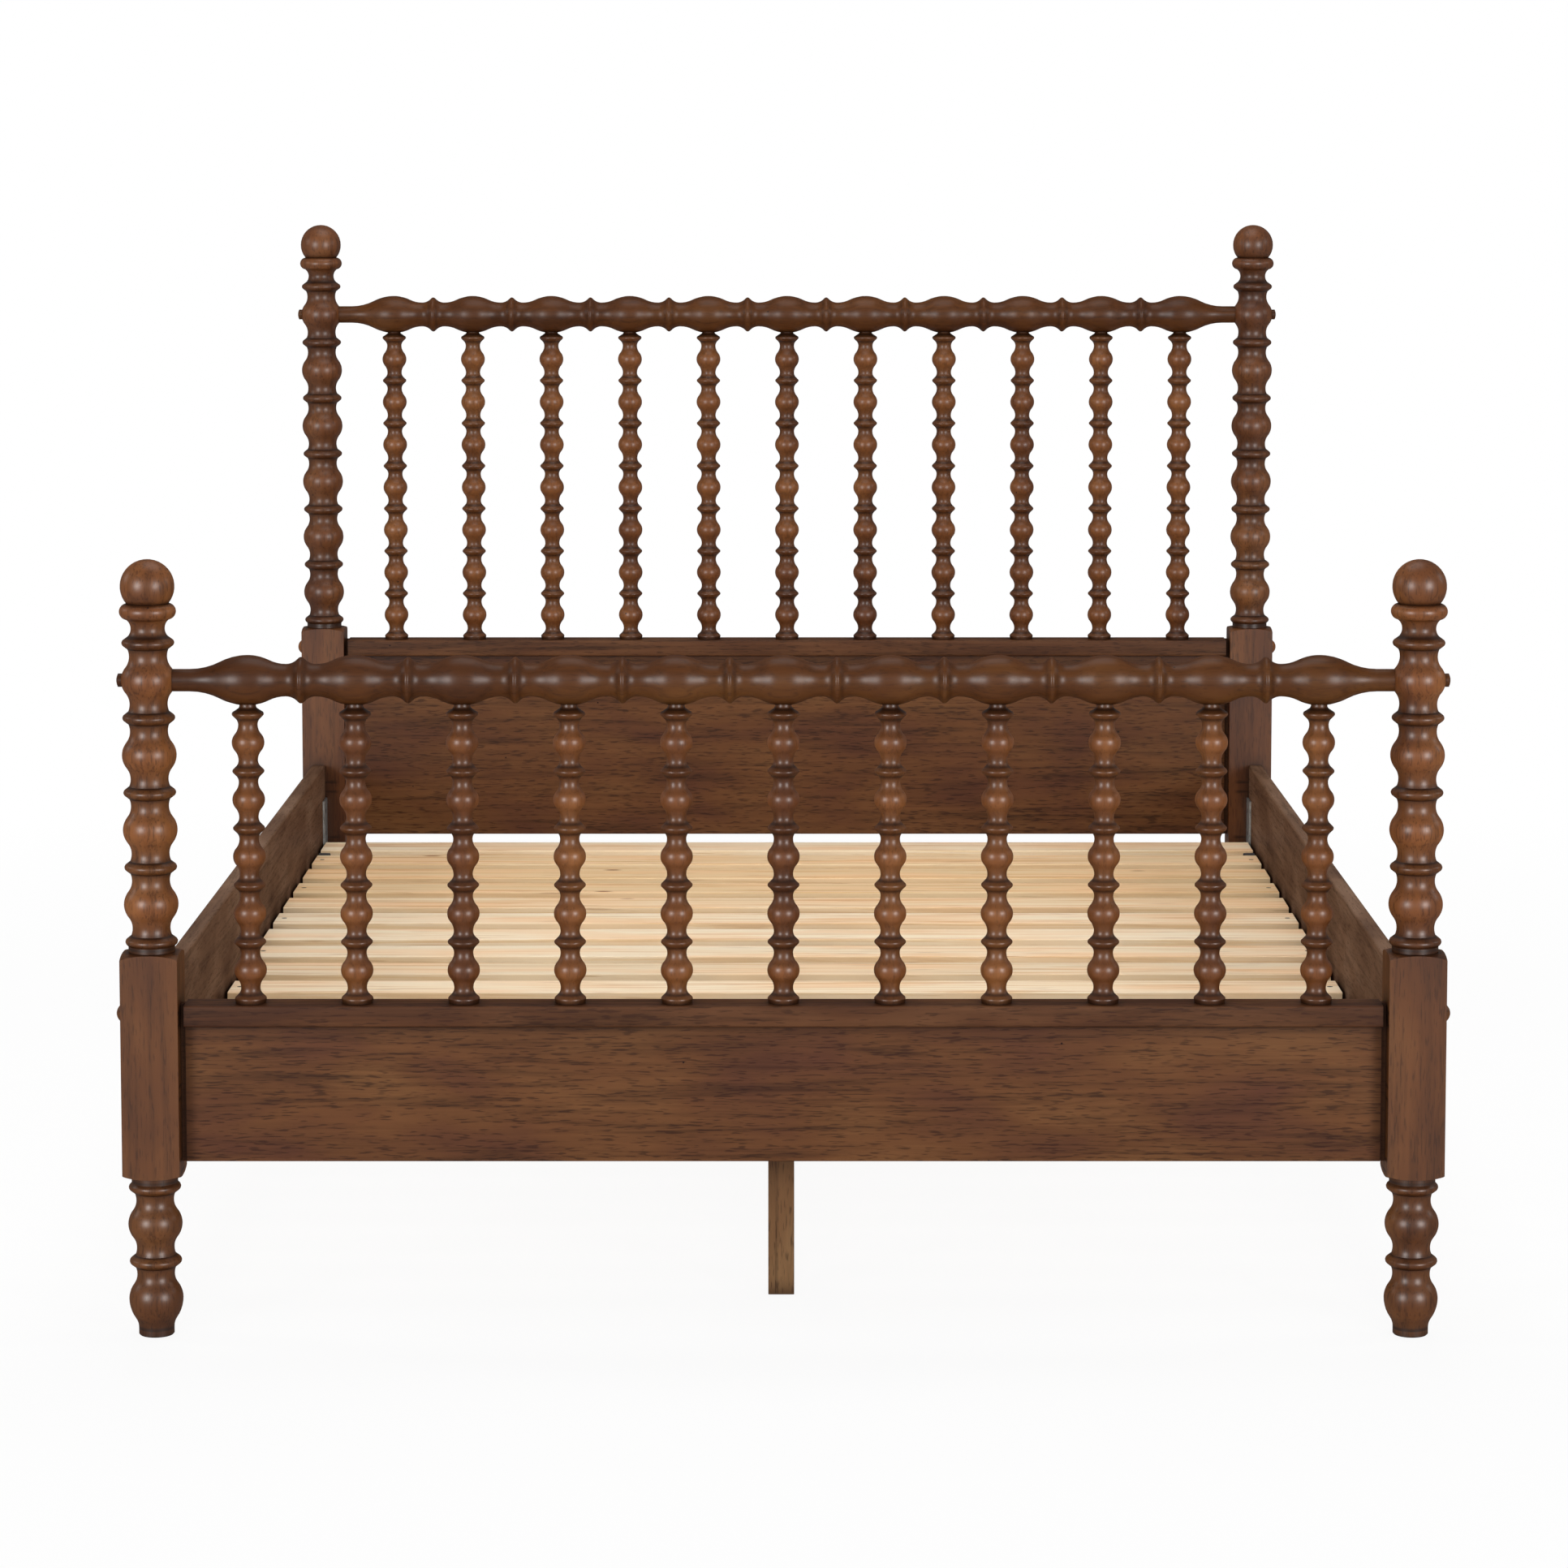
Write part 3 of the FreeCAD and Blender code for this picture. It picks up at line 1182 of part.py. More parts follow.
def bolt_button(label, along_bed, cap_top):
    """A domed wooden button whose stem fills the mouth of the recess."""
    body = new_body(label)
    face = -half_across - half_post
    sketch = new_sketch(body, "dome_outline", "XZ_Plane", -along_bed)
    sketch.setExpression("AttachmentOffset.Base.y", (cap_top - dim.cap_height / 2).text)
    outline = Outline(sketch)
    stem_end = face + dim.button_stem
    rise = dim.button_rise
    rim = dim.button_radius
    dome = (rise * rise + rim * rim) / (rise * 2)
    outline.start(stem_end, as_size(0))
    edge = outline.line_to(stem_end, dim.button_stem_radius)
    outline.measure("DistanceX", stem_end, edge, 1)
    outline.measure("DistanceY", as_size(0), edge, 1)
    outline.line_to(face, dim.button_stem_radius)
    outline.line_to(face, rim)
    edge = outline.arc((face - rise + dome, as_size(0)), dome, (face - rise, as_size(0)))
    outline.sketch.addConstraint(Sketcher.Constraint("PointOnObject", edge, 3, -1))
    outline.sketch.addConstraint(Sketcher.Constraint("PointOnObject", edge, 2, -1))
    outline.measure("DistanceX", face - rise, edge, 2)
    outline.close()
    feature = body.newObject("PartDesign::Revolution", "dome")
    feature.Profile = sketch
    feature.ReferenceAxis = (sketch, ["H_Axis"])
    feature.Angle = 360
    return body


def both_ends(label, shape):
    """The fastener of the left posts at both ends of the bed, and its mirrored copies."""
    members = []
    for end, along_bed, cap_top in (("head", half_along, dim.head_cap_top),
                                    ("foot", -half_along, dim.foot_cap_top)):
        left = shape(f"{label}_{end}_left", along_bed, cap_top)
        members += [left, mirror_piece(f"{label}_{end}_right", left, ACROSS)]
    return group_pieces(label, members)


pieces["post_bolts"] = both_ends("post_bolts", post_bolt)
pieces["bolt_buttons"] = both_ends("bolt_buttons", bolt_button)


# ---------------------------------------------------------------- wood screws

def screw_body(label, at, axis, way, length):
    body = new_body(label)
    body.AllowCompound = True
    screw = bore(body, "screw", screw_outline(length, way), at, axis, cut=False)
    return body, screw


wood_screws = []

slat_screws, screw = screw_body("slat_end_screws", (-slat_screw_place, first_screwed_slat, dim.slat_top),
                                "z", -1, dim.screw_length)
repeat(slat_screws, "row", screw, "y", -dim.slat_pitch * 2, len(SCREWED_SLATS))
wood_screws += [slat_screws, mirror_piece("slat_end_screws_right", slat_screws, ACROSS)]

middle_screws, screw = screw_body("slat_middle_screws", (0, first_screwed_slat, dim.slat_top), "z", -1,
                                  dim.screw_length)
repeat(middle_screws, "row", screw, "y", -dim.slat_pitch * 2, len(SCREWED_SLATS))
wood_screws.append(middle_screws)

cleat_screws, screw = screw_body("cleat_screws",
                                 (inner_face + dim.cleat_width, -last_cleat_screw, cleat_screw_height),
                                 "x", -1, dim.screw_length)
repeat(cleat_screws, "row", screw, "y", dim.cleat_screw_pitch, CLEAT_SCREWS)
wood_screws += [cleat_screws, mirror_piece("cleat_screws_right", cleat_screws, ACROSS)]

for number, up in enumerate(bracket_screw_heights, start=1):
    screws, screw = screw_body(f"bracket_screw_{number}",
                               (inner_face + dim.plate_thickness, bracket_screw_place, up), "x", -1,
                               dim.short_screw_length)
    wood_screws.append(four_corners(f"bracket_screws_{number}", screws))
for number, up in enumerate(plate_screw_heights, start=1):
    screws, screw = screw_body(f"plate_screw_{number}", (plate_screw_place, post_face, up), "y", 1,
                               dim.short_screw_length)
    wood_screws.append(four_corners(f"plate_screws_{number}", screws))
for leg_name, place in leg_places.items():
    for number, (along, up) in enumerate(leg_screws, start=1):
        screws, screw = screw_body(f"{leg_name}_leg_screw_{number}",
                                   (-leg_cheek, place + along, slat_bottom - dim.beam_height + up), "x", 1,
                                   dim.short_screw_length)
        wood_screws.append(screws)
pieces["wood_screws"] = group_pieces("wood_screws", wood_screws)


# ---------------------------------------------------------------- checks and export

doc.recompute()
for item in doc.Objects:
    if "Invalid" in item.State or "Error" in item.State:
        raise RuntimeError(f"{item.Label} ({item.Name}) is {item.State}")
    if item.TypeId == "Sketcher::SketchObject" and not item.FullyConstrained:
        raise RuntimeError(f"the sketch {item.Name} is not fully constrained")
for name, piece in pieces.items():
    if piece.Shape.isNull() or not piece.Shape.isValid():
        raise RuntimeError(f"{name} has no valid shape")

os.makedirs("parts", exist_ok=True)
for name, piece in pieces.items():
    piece.Shape.exportStep(f"parts/{name}.step")
    print(name, len(piece.Shape.Solids), len(piece.Shape.Faces), round(piece.Shape.Volume / 1000))
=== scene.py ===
import bpy, math
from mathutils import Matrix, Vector


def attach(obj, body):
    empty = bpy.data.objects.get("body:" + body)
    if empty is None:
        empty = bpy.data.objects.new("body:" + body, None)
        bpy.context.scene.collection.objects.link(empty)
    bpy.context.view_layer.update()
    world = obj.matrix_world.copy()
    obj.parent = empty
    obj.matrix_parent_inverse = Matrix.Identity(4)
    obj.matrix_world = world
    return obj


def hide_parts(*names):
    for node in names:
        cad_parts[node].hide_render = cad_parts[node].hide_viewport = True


# The bed as the part's source gives it, in metres: the origin lies on the floor under its middle,
# +X points to the right as the photograph shows it and +Y to the headboard.
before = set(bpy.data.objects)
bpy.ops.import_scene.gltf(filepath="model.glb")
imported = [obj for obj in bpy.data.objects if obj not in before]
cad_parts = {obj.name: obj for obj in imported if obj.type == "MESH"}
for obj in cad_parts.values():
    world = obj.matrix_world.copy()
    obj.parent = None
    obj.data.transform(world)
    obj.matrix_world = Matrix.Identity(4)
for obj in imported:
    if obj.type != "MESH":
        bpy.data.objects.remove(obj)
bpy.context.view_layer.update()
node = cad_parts


# ------------------------------------------------------------ posts
# Each of the four posts is one hardwood blank, turned above and below a square block. Rings and
# beads come off the lathe; all of it is stained walnut brown and glazed darker in the hollows,
# with painted shade there as well; the beads' bellies and the ball are painted lighter, as
# painted light; and it is lacquered to a soft shine.

def tint(hex_value):
    """An sRGB hex colour as the linear one that a shader socket takes."""
    channels = [int(hex_value[i:i + 2], 16) / 255 for i in (1, 3, 5)]
    return [c / 12.92 if c <= 0.04045 else ((c + 0.055) / 1.055) ** 2.4 for c in channels] + [1]


def add(tree, kind, links={}, stops=(), **settings):
    """A node with its settings, a ramp's stops, its unlinked inputs and its links.

    links names input sockets, each with a value, a socket or a node whose first output it takes.
    """
    made = tree.nodes.new("ShaderNode" + kind)
    for name, value in settings.items():
        setattr(made, name, value)
    for index, (position, colour) in enumerate(stops):
        elements = made.color_ramp.elements
        stop = elements[index] if index < len(elements) else elements.new(position)
        stop.position, stop.color = position, tint(colour)
    for name, value in links.items():
        if isinstance(value, bpy.types.Node):
            value = value.outputs[0]
        if isinstance(value, bpy.types.NodeSocket):
            tree.links.new(value, made.inputs[name])
        else:
            made.inputs[name].default_value = value
    return made


def new_material(name):
    material = bpy.data.materials.new(name)
    material.use_nodes = True
    material.node_tree.nodes.clear()
    return material, material.node_tree


grain_across, grain_along, grain_up = 0, 1, 2


def stretched(grain, across, along):
    """A pattern's scale per metre, along the grain's axis and across it."""
    scale = [across] * 3
    scale[grain] = along
    return scale


# how wide the glazing and painted shade lie in a corner, and the height that parts a post's foot
# from its block
glaze_and_shade_reach = 0.026
foot_top = 0.2


def stained_hardwood(name, grain, stain, shift, figured, pored, lacquer, rings=None, post=None):
    """Walnut-stained, open-pored hardwood, glazed in its hollows with painted shade there too, and
    lacquered.

    Open pores show as short dark dashes along the grain, and the stain takes in soft patches. The
    glazing stays in every hollow and joint, where the rag doesn't reach, and these hollows also get
    painted shade from how hidden the surface is; a painted shade line lies on both sides of a
    turned ring, and the beads' bellies are painted lighter, as painted light. The satin lacquer
    gives soft highlights: its index is above the real 1.5 at a low weight, because few things
    round a real bed are as white as the studio.
    shift moves the pattern to another place in the wood, in metres. figured, pored and lacquer
    are the shares of the growth figure, the pores and the lacquer.
    rings: one ring's place, the pitch, the reach from a ring's crest to the foot of its flank,
    and how light the painted shade in the hollows beside a ring and the painted light on the
    bellies of the beads are.
    post: a ring under the square block of a post, the block's top, the foot of the ball, the tone
    that takes the place of the painted light up to the block's top, and how light the ball's
    painted highlight is.
    """
    material, tree = new_material(name)
    place = add(tree, "TexCoord").outputs["Object"]
    stock = add(tree, "Mapping", {"Vector": place, "Location": shift})

    # patches where the stain took more or less, 60 to 250 mm long
    patches = add(tree, "Mapping", {"Vector": stock, "Scale": stretched(grain, 13, 4.5)})
    patches = add(tree, "TexNoise", {"Vector": patches, "Scale": 1.0, "Detail": 3.0,
                                     "Roughness": 0.5, "Distortion": 0.3})
    colour = add(tree, "ValToRGB", {"Fac": patches},
                 stops=[(0.3, stain[0]), (0.5, stain[1]), (0.7, stain[2])])

    # growth figure, from streaks 15 mm wide down to fibres of less than 1 mm
    figure = add(tree, "Mapping", {"Vector": stock, "Scale": stretched(grain, 75, 3.2)})
    figure = add(tree, "TexNoise", {"Vector": figure, "Scale": 1.0, "Detail": 6.0,
                                    "Roughness": 0.62, "Distortion": 1.3})
    streaks = add(tree, "ValToRGB", {"Fac": figure},
                  stops=[(0.3, "#8f8f8f"), (0.5, "#e9e9e9"), (0.66, "#ffffff")])
    colour = add(tree, "MixRGB", {"Fac": figured, "Color1": colour, "Color2": streaks},
                 blend_type="MULTIPLY")

    # pores are 0.2 mm wide in the real wood: drawn 1.2 mm wide and 11 mm long, so that they show
    pores = add(tree, "Mapping", {"Vector": stock, "Scale": stretched(grain, 450, 50)})
    pores = add(tree, "TexNoise", {"Vector": pores, "Scale": 1.0, "Detail": 1.0})
    crowd = add(tree, "MapRange", {"Value": figure, "From Min": 0.35, "From Max": 0.65,
                                   "To Min": -0.06, "To Max": 0.05})
    pores = add(tree, "Math", {0: pores, 1: crowd}, operation="ADD")
    pores = add(tree, "ValToRGB", {"Fac": pores}, stops=[(0.33, "#ffffff"), (0.43, "#000000")])
    depth = add(tree, "Math", {0: pores, 1: pored}, operation="MULTIPLY")
    colour = add(tree, "MixRGB", {"Fac": depth, "Color1": colour, "Color2": tint("#1f0f08")})

    # knocks and worm holes, 2 mm across and some 60 mm apart
    specks = add(tree, "TexVoronoi", {"Vector": stock, "Scale": 20.0}, feature="F1")
    specks = add(tree, "ValToRGB", {"Fac": specks}, stops=[(0.02, "#ffffff"), (0.032, "#000000")])
    colour = add(tree, "MixRGB", {"Fac": specks, "Color1": colour, "Color2": tint("#140a06")})

    # glazing and painted shade in the hollows, the shade taken from how hidden the surface is, some
    # 20 mm wide and darkest in the joint
    hollow = add(tree, "AmbientOcclusion", {"Distance": glaze_and_shade_reach}, samples=8).outputs["AO"]
    glaze_and_shade = add(tree, "MapRange", {"Value": hollow, "From Min": 0.35, "From Max": 0.97,
                                   "To Min": 0.95, "To Max": 0.0})
    if rings:
        first, pitch = rings["first"], rings["pitch"]
        along = add(tree, "SeparateXYZ", {0: place}).outputs["XYZ"[grain]]
        if post:
            # the rings of a post's foot don't keep step with those above its block
            first = add(tree, "MapRange", {
                "Value": along, "From Min": foot_top - 0.0005, "From Max": foot_top + 0.0005,
                "To Min": post["foot_ring"], "To Max": first})
        away = add(tree, "Math", {0: along, 1: first}, operation="SUBTRACT")
        away = add(tree, "Math", {0: away, 1: pitch / 2}, operation="PINGPONG")

        # painted light and shade: the beads' bellies are painted lighter and the hollows beside a
        # ring darker
        painted_light_tone = add(tree, "MapRange", {
            "Value": away, "From Min": pitch * 0.08, "From Max": pitch * 0.45,
            "To Min": rings["hollow_shade_tone"], "To Max": rings["belly_light_tone"]})
        # up to the block's top a tone of its own takes the place of the painted light, and the ball
        # is painted lighter, as a painted highlight
        if post:
            low = add(tree, "Math", {0: along, 1: post["block_top"]}, operation="LESS_THAN")
            painted_light_tone = add(tree, "MapRange", {"Value": low, "To Min": painted_light_tone,
                                          "To Max": post["block_tone"]})
            ball = add(tree, "Math", {0: along, 1: post["ball_foot"]}, operation="GREATER_THAN")
            painted_light_tone = add(tree, "MapRange", {"Value": ball, "To Min": painted_light_tone,
                                          "To Max": post["ball_highlight_tone"]})
        colour = add(tree, "HueSaturation", {"Color": colour, "Value": painted_light_tone})

        # painted shade: a dark line at the foot of a ring's flanks, standing in for the shade of a
        # small step there, only where the surface is hollow
        away = add(tree, "Math", {0: away, 1: rings["foot"] * 2}, operation="DIVIDE")
        line = add(tree, "ValToRGB", {"Fac": away}, stops=[
            (0.28, "#000000"), (0.42, "#ffffff"), (0.55, "#ffffff"), (0.85, "#000000")])
        bent = add(tree, "MapRange", {"Value": hollow, "From Min": 0.99, "From Max": 0.87,
                                      "To Min": 0.0, "To Max": 0.9})
        line = add(tree, "Math", {0: line, 1: bent}, operation="MULTIPLY")
        glaze_and_shade = add(tree, "Math", {0: glaze_and_shade, 1: line}, operation="MAXIMUM")

    # glazing and painted shade darken the colour towards a near-black brown
    colour = add(tree, "MixRGB", {"Fac": glaze_and_shade, "Color1": colour, "Color2": tint("#221108")})
    rough = add(tree, "MapRange", {"Value": patches, "To Min": 0.4, "To Max": 0.6})
    shader = add(tree, "BsdfPrincipled", {
        "Base Color": colour, "Roughness": rough, "Specular IOR Level": 0.0,
        "Coat Weight": lacquer, "Coat Roughness": 0.37, "Coat IOR": 2.2})
    add(tree, "OutputMaterial", {"Surface": shader})
    return material


# edges bent more than this stay crisp, and corners nearer than this are one
crisp_edge = math.radians(32)
weld_reach = 0.00001


def smooth(piece):
    """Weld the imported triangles, shade them smooth and keep the crisp edges, all as modifiers."""
    weld = piece.modifiers.new("weld", "WELD")
    weld.merge_threshold = weld_reach
    group = bpy.data.node_groups.get("shade_smooth")
    if group is None:
        group = bpy.data.node_groups.new("shade_smooth", "GeometryNodeTree")
        for way in ("INPUT", "OUTPUT"):
            group.interface.new_socket("Geometry", in_out=way, socket_type="NodeSocketGeometry")
        inlet = group.nodes.new("NodeGroupInput")
        outlet = group.nodes.new("NodeGroupOutput")
        shade = group.nodes.new("GeometryNodeSetShadeSmooth")
        group.links.new(inlet.outputs[0], shade.inputs[0])
        group.links.new(shade.outputs[0], outlet.inputs[0])
    piece.modifiers.new("shade", "NODES").node_group = group
    split = piece.modifiers.new("edges", "EDGE_SPLIT")
    split.split_angle = crisp_edge


def finish_node(name, material):
    piece = node[name]
    piece.data.materials.clear()
    piece.data.materials.append(material)
    smooth(piece)


turned_stain = ("#4a2915", "#5e371b", "#6d4424")
head_post_wood = stained_hardwood(
    "stained_hardwood_head_posts", grain_up, ("#432515", "#56321a", "#664024"),
    shift=(0, 0, 0), figured=0.5, pored=0.4, lacquer=0.09,
    rings=dict(first=1.2176, pitch=0.0925, foot=0.0078, hollow_shade_tone=0.85, belly_light_tone=1.25),
    post=dict(foot_ring=0.185, block_top=0.6504, ball_foot=1.262, block_tone=1.08, ball_highlight_tone=1.25))
foot_post_wood = stained_hardwood(
    "stained_hardwood_foot_posts", grain_up, turned_stain,
    shift=(0.4, 0, 0), figured=0.5, pored=0.4, lacquer=0.09,
    rings=dict(first=0.857, pitch=0.0918, foot=0.0078, hollow_shade_tone=0.9, belly_light_tone=1.6),
    post=dict(foot_ring=0.185, block_top=0.4776, ball_foot=0.902, block_tone=0.85, ball_highlight_tone=1.25))
for side in ("left", "right"):
    finish_node(f"headboard_post_{side}", head_post_wood)
    finish_node(f"footboard_post_{side}", foot_post_wood)


# ------------------------------------------------------------ bolt buttons
# Small turned hardwood buttons that cover the bolts' heads on the outer side of each block,
# pressed into the bolt's hole and finished with the post.

finish_node("bolt_buttons", foot_post_wood)


# ------------------------------------------------------------ top rails and spindles
# Each top rail is one turned hardwood length with bulbs between its rings; its tenons go through
# the posts. The spindles are turned alike, and stand in blind holes of the cap rail and top rail.

rail_wood = stained_hardwood(
    "stained_hardwood_top_rails", grain_across, ("#3a1f0e", "#482810", "#543317"),
    shift=(2.0, 1.4, 2.6), figured=0.45, pored=0.25, lacquer=0.06,
    rings=dict(first=0.0652, pitch=0.1304, foot=0.0062, hollow_shade_tone=1.1, belly_light_tone=1.1))
head_spindle_wood = stained_hardwood(
    "stained_hardwood_head_spindles", grain_up, turned_stain,
    shift=(0.9, 0.4, 0), figured=0.4, pored=0.2, lacquer=0.09,
    rings=dict(first=0.635, pitch=0.0711, foot=0.0063, hollow_shade_tone=0.82, belly_light_tone=1.3))
foot_spindle_wood = stained_hardwood(
    "stained_hardwood_foot_spindles", grain_up, turned_stain,
    shift=(1.3, 0.8, 0), figured=0.4, pored=0.2, lacquer=0.09,
    rings=dict(first=0.419, pitch=0.0702, foot=0.0063, hollow_shade_tone=0.85, belly_light_tone=1.42))
for end, wood in (("headboard", head_spindle_wood), ("footboard", foot_spindle_wood)):
    finish_node(f"{end}_top_rail", rail_wood)
    for number in range(1, 12):
        finish_node(f"{end}_spindle_{number:02d}", wood)


# ------------------------------------------------------------ cap rails and panels
# Flat hardwood boards with their grain across the bed, tongued into the posts; the panel stands
# in a groove under the cap rail.

cap_wood = stained_hardwood(
    "stained_hardwood_cap_rails", grain_across, ("#3f2416", "#4e2f1b", "#5d3c25"),
    shift=(5.0, 3.5, 6.5), figured=0.75, pored=0.5, lacquer=0.05)
panel_wood = stained_hardwood(
    "stained_hardwood_panels", grain_across, ("#4e2d1e", "#5c3920", "#684427"),
    shift=(6.1, 2.5, 7.5), figured=0.75, pored=0.6, lacquer=0.05)
for end in ("headboard", "footboard"):
    finish_node(f"{end}_cap_rail", cap_wood)
    finish_node(f"{end}_panel", panel_wood)


# ------------------------------------------------------------ side rails, cleats, beam and legs
# Sawn hardwood boards in the same stain. The rails hook into the posts, the cleats are screwed
# to the rails, and the square legs lap the centre beam and are screwed to it.

side_rail_wood = stained_hardwood(
    "stained_hardwood_side_rails", grain_along, ("#553d2e", "#6a4f3d", "#7a5f4c"),
    shift=(8.0, 5.6, 10.4), figured=0.55, pored=0.3, lacquer=0.05)
for name in ("side_rail_left", "side_rail_right", "slat_cleat_left", "slat_cleat_right",
             "centre_beam"):
    finish_node(name, side_rail_wood)
leg_wood = stained_hardwood(
    "stained_hardwood_legs", grain_up, ("#553a25", "#6a4b30", "#7d5f40"),
    shift=(3.0, 2.1, 3.9), figured=0.7, pored=0.5, lacquer=0.05)
for spot in ("foot", "middle", "head"):
    finish_node(f"centre_leg_{spot}", leg_wood)


# ------------------------------------------------------------ slats
# Planed, unfinished softwood boards with their grain across the bed and a few small knots. They
# lie on the cleats and the beam, and every second one is screwed to them.

slat_first = 0.933
slat_pitch = 0.139


def planed_softwood(name):
    """Bare softwood: pale, with thin brown growth lines, warm patches and a few small knots.

    Every slat comes from another board, so its tone and its grain differ from its neighbours'.
    """
    material, tree = new_material(name)
    place = add(tree, "TexCoord").outputs["Object"]

    # which slat it is, and from that a board of its own
    number = add(tree, "SeparateXYZ", {0: place}).outputs["Y"]
    number = add(tree, "Math", {0: number, 1: slat_first}, operation="SUBTRACT")
    number = add(tree, "Math", {0: number, 1: slat_pitch}, operation="DIVIDE")
    number = add(tree, "Math", {0: number}, operation="ROUND")
    chance = add(tree, "TexWhiteNoise", {"W": number}, noise_dimensions="1D")
    board = add(tree, "VectorMath", {0: chance.outputs["Color"], 1: (40, 40, 40)},
                operation="MULTIPLY")
    board = add(tree, "VectorMath", {0: place, 1: board}, operation="ADD")
    colour = add(tree, "ValToRGB", {"Fac": chance.outputs["Value"]},
                 stops=[(0.1, "#e0c298"), (0.5, "#f1dec1"), (0.9, "#dfcbad")])

    # warm patches 300 mm long
    warm = add(tree, "Mapping", {"Vector": board, "Scale": (3.4, 18, 18)})
    warm = add(tree, "TexNoise", {"Vector": warm, "Scale": 1.0, "Detail": 2.0})
    warm = add(tree, "MapRange", {"Value": warm, "From Min": 0.42, "From Max": 0.65,
                                  "To Max": 0.65})
    colour = add(tree, "MixRGB", {"Fac": warm, "Color1": colour, "Color2": tint("#ecc193")})

    # growth lines, from 10 mm apart down to 1 mm
    figure = add(tree, "Mapping", {"Vector": board, "Scale": (1.9, 95, 95)})
    figure = add(tree, "TexNoise", {"Vector": figure, "Scale": 1.0, "Detail": 6.0,
                                    "Roughness": 0.58, "Distortion": 1.1})
    streaks = add(tree, "ValToRGB", {"Fac": figure},
                  stops=[(0.34, "#cfa578"), (0.43, "#f0dcbd"), (0.5, "#ffffff")])
    colour = add(tree, "MixRGB", {"Fac": 0.65, "Color1": colour, "Color2": streaks},
                 blend_type="MULTIPLY")

    # short brown resin streaks, 60 to 120 mm long
    resin = add(tree, "Mapping", {"Vector": board, "Scale": (9, 210, 210)})
    resin = add(tree, "TexNoise", {"Vector": resin, "Scale": 1.0, "Detail": 1.0})
    resin = add(tree, "MapRange", {"Value": resin, "From Min": 0.68, "From Max": 0.76,
                                   "To Max": 0.75})
    colour = add(tree, "MixRGB", {"Fac": resin, "Color1": colour, "Color2": tint("#9a6238")})

    # small knots, 7 to 15 mm wide and twice as long
    knots = add(tree, "Mapping", {"Vector": board, "Scale": (4, 9, 9)})
    knots = add(tree, "TexVoronoi", {"Vector": knots, "Scale": 1.0}, feature="F1")
    knots = add(tree, "ValToRGB", {"Fac": knots}, stops=[(0.03, "#ffffff"), (0.07, "#000000")])
    colour = add(tree, "MixRGB", {"Fac": knots, "Color1": colour, "Color2": tint("#8a5a34")})

    # the sawn edges, which face along the bed, are browner than the planed faces
    facing = add(tree, "SeparateXYZ", {0: add(tree, "NewGeometry").outputs["Normal"]})
    edge = add(tree, "Math", {0: facing.outputs["Y"]}, operation="ABSOLUTE")
    edge = add(tree, "MapRange", {"Value": edge, "From Min": 0.5, "From Max": 0.95,
                                  "To Max": 0.5})
    colour = add(tree, "MixRGB", {"Fac": edge, "Color1": colour, "Color2": tint("#d0b48a")})

    relief = add(tree, "Bump", {"Height": figure, "Strength": 0.15, "Distance": 0.0004})
    shader = add(tree, "BsdfPrincipled", {"Base Color": colour, "Roughness": 0.62,
                                          "Normal": relief, "Specular IOR Level": 0.3})
    add(tree, "OutputMaterial", {"Surface": shader})
    return material


slat_wood = planed_softwood("planed_softwood")
for number in range(1, 15):
    finish_node(f"slat_{number:02d}", slat_wood)


# ------------------------------------------------------------ steel fittings
# Brackets and hook plates are stamped from sheet steel and screwed to the rails and posts, and
# the bolts pull the posts onto the cap rails: all are zinc-plated. The wood screws are blackened.

def coated_steel(name, light, dark, roughness):
    """Plated or blackened steel: a dull metal shine, with the coating's cloudy grain of 5 mm."""
    material, tree = new_material(name)
    place = add(tree, "TexCoord").outputs["Object"]
    spangle = add(tree, "TexNoise", {"Vector": place, "Scale": 180.0, "Detail": 3.0})
    colour = add(tree, "ValToRGB", {"Fac": spangle}, stops=[(0.3, dark), (0.7, light)])
    rough = add(tree, "MapRange", {"Value": spangle, "To Min": roughness - 0.08,
                                   "To Max": roughness + 0.08})
    shader = add(tree, "BsdfPrincipled", {"Base Color": colour, "Roughness": rough,
                                          "Metallic": 1.0})
    add(tree, "OutputMaterial", {"Surface": shader})
    return material


zinc = coated_steel("zinc_plated_steel", "#a3a3a0", "#7c7d7b", 0.42)
for name in ("rail_brackets", "hook_plates", "post_bolts"):
    finish_node(name, zinc)
finish_node("wood_screws", coated_steel("dark_screw_steel", "#1f1a16", "#110d0b", 0.55))


# ------------------------------------------------------------ slat webbing
# Two strips of black woven webbing, 17 mm wide, that hold the slats at their pitch. Each runs
# under the ends of the slats, and stands up in a slack loop between the first two.

def woven_webbing(name):
    """Black woven webbing: matt, with a rib across the strip every millimetre or so."""
    material, tree = new_material(name)
    place = add(tree, "TexCoord").outputs["Object"]
    ribs = add(tree, "TexWave", {"Vector": place, "Scale": 320.0, "Distortion": 0.5},
               bands_direction="Y").outputs["Fac"]
    colour = add(tree, "ValToRGB", {"Fac": ribs}, stops=[(0.2, "#101010"), (0.8, "#2a2a2a")])
    relief = add(tree, "Bump", {"Height": ribs, "Strength": 0.4, "Distance": 0.0003})
    shader = add(tree, "BsdfPrincipled", {"Base Color": colour, "Roughness": 0.85,
                                          "Normal": relief})
    add(tree, "OutputMaterial", {"Surface": shader})
    return material


cleat_top = 0.2778
strip_thickness = 0.0011
strip_width = 0.017
strip_outer = 0.766
strip_ends = (-0.919, 0.978)
loop_middle, loop_half, loop_rise = 0.8635, 0.0225, 0.0175
# the strip is drawn this far clear of the cleat
lift = 0.00005


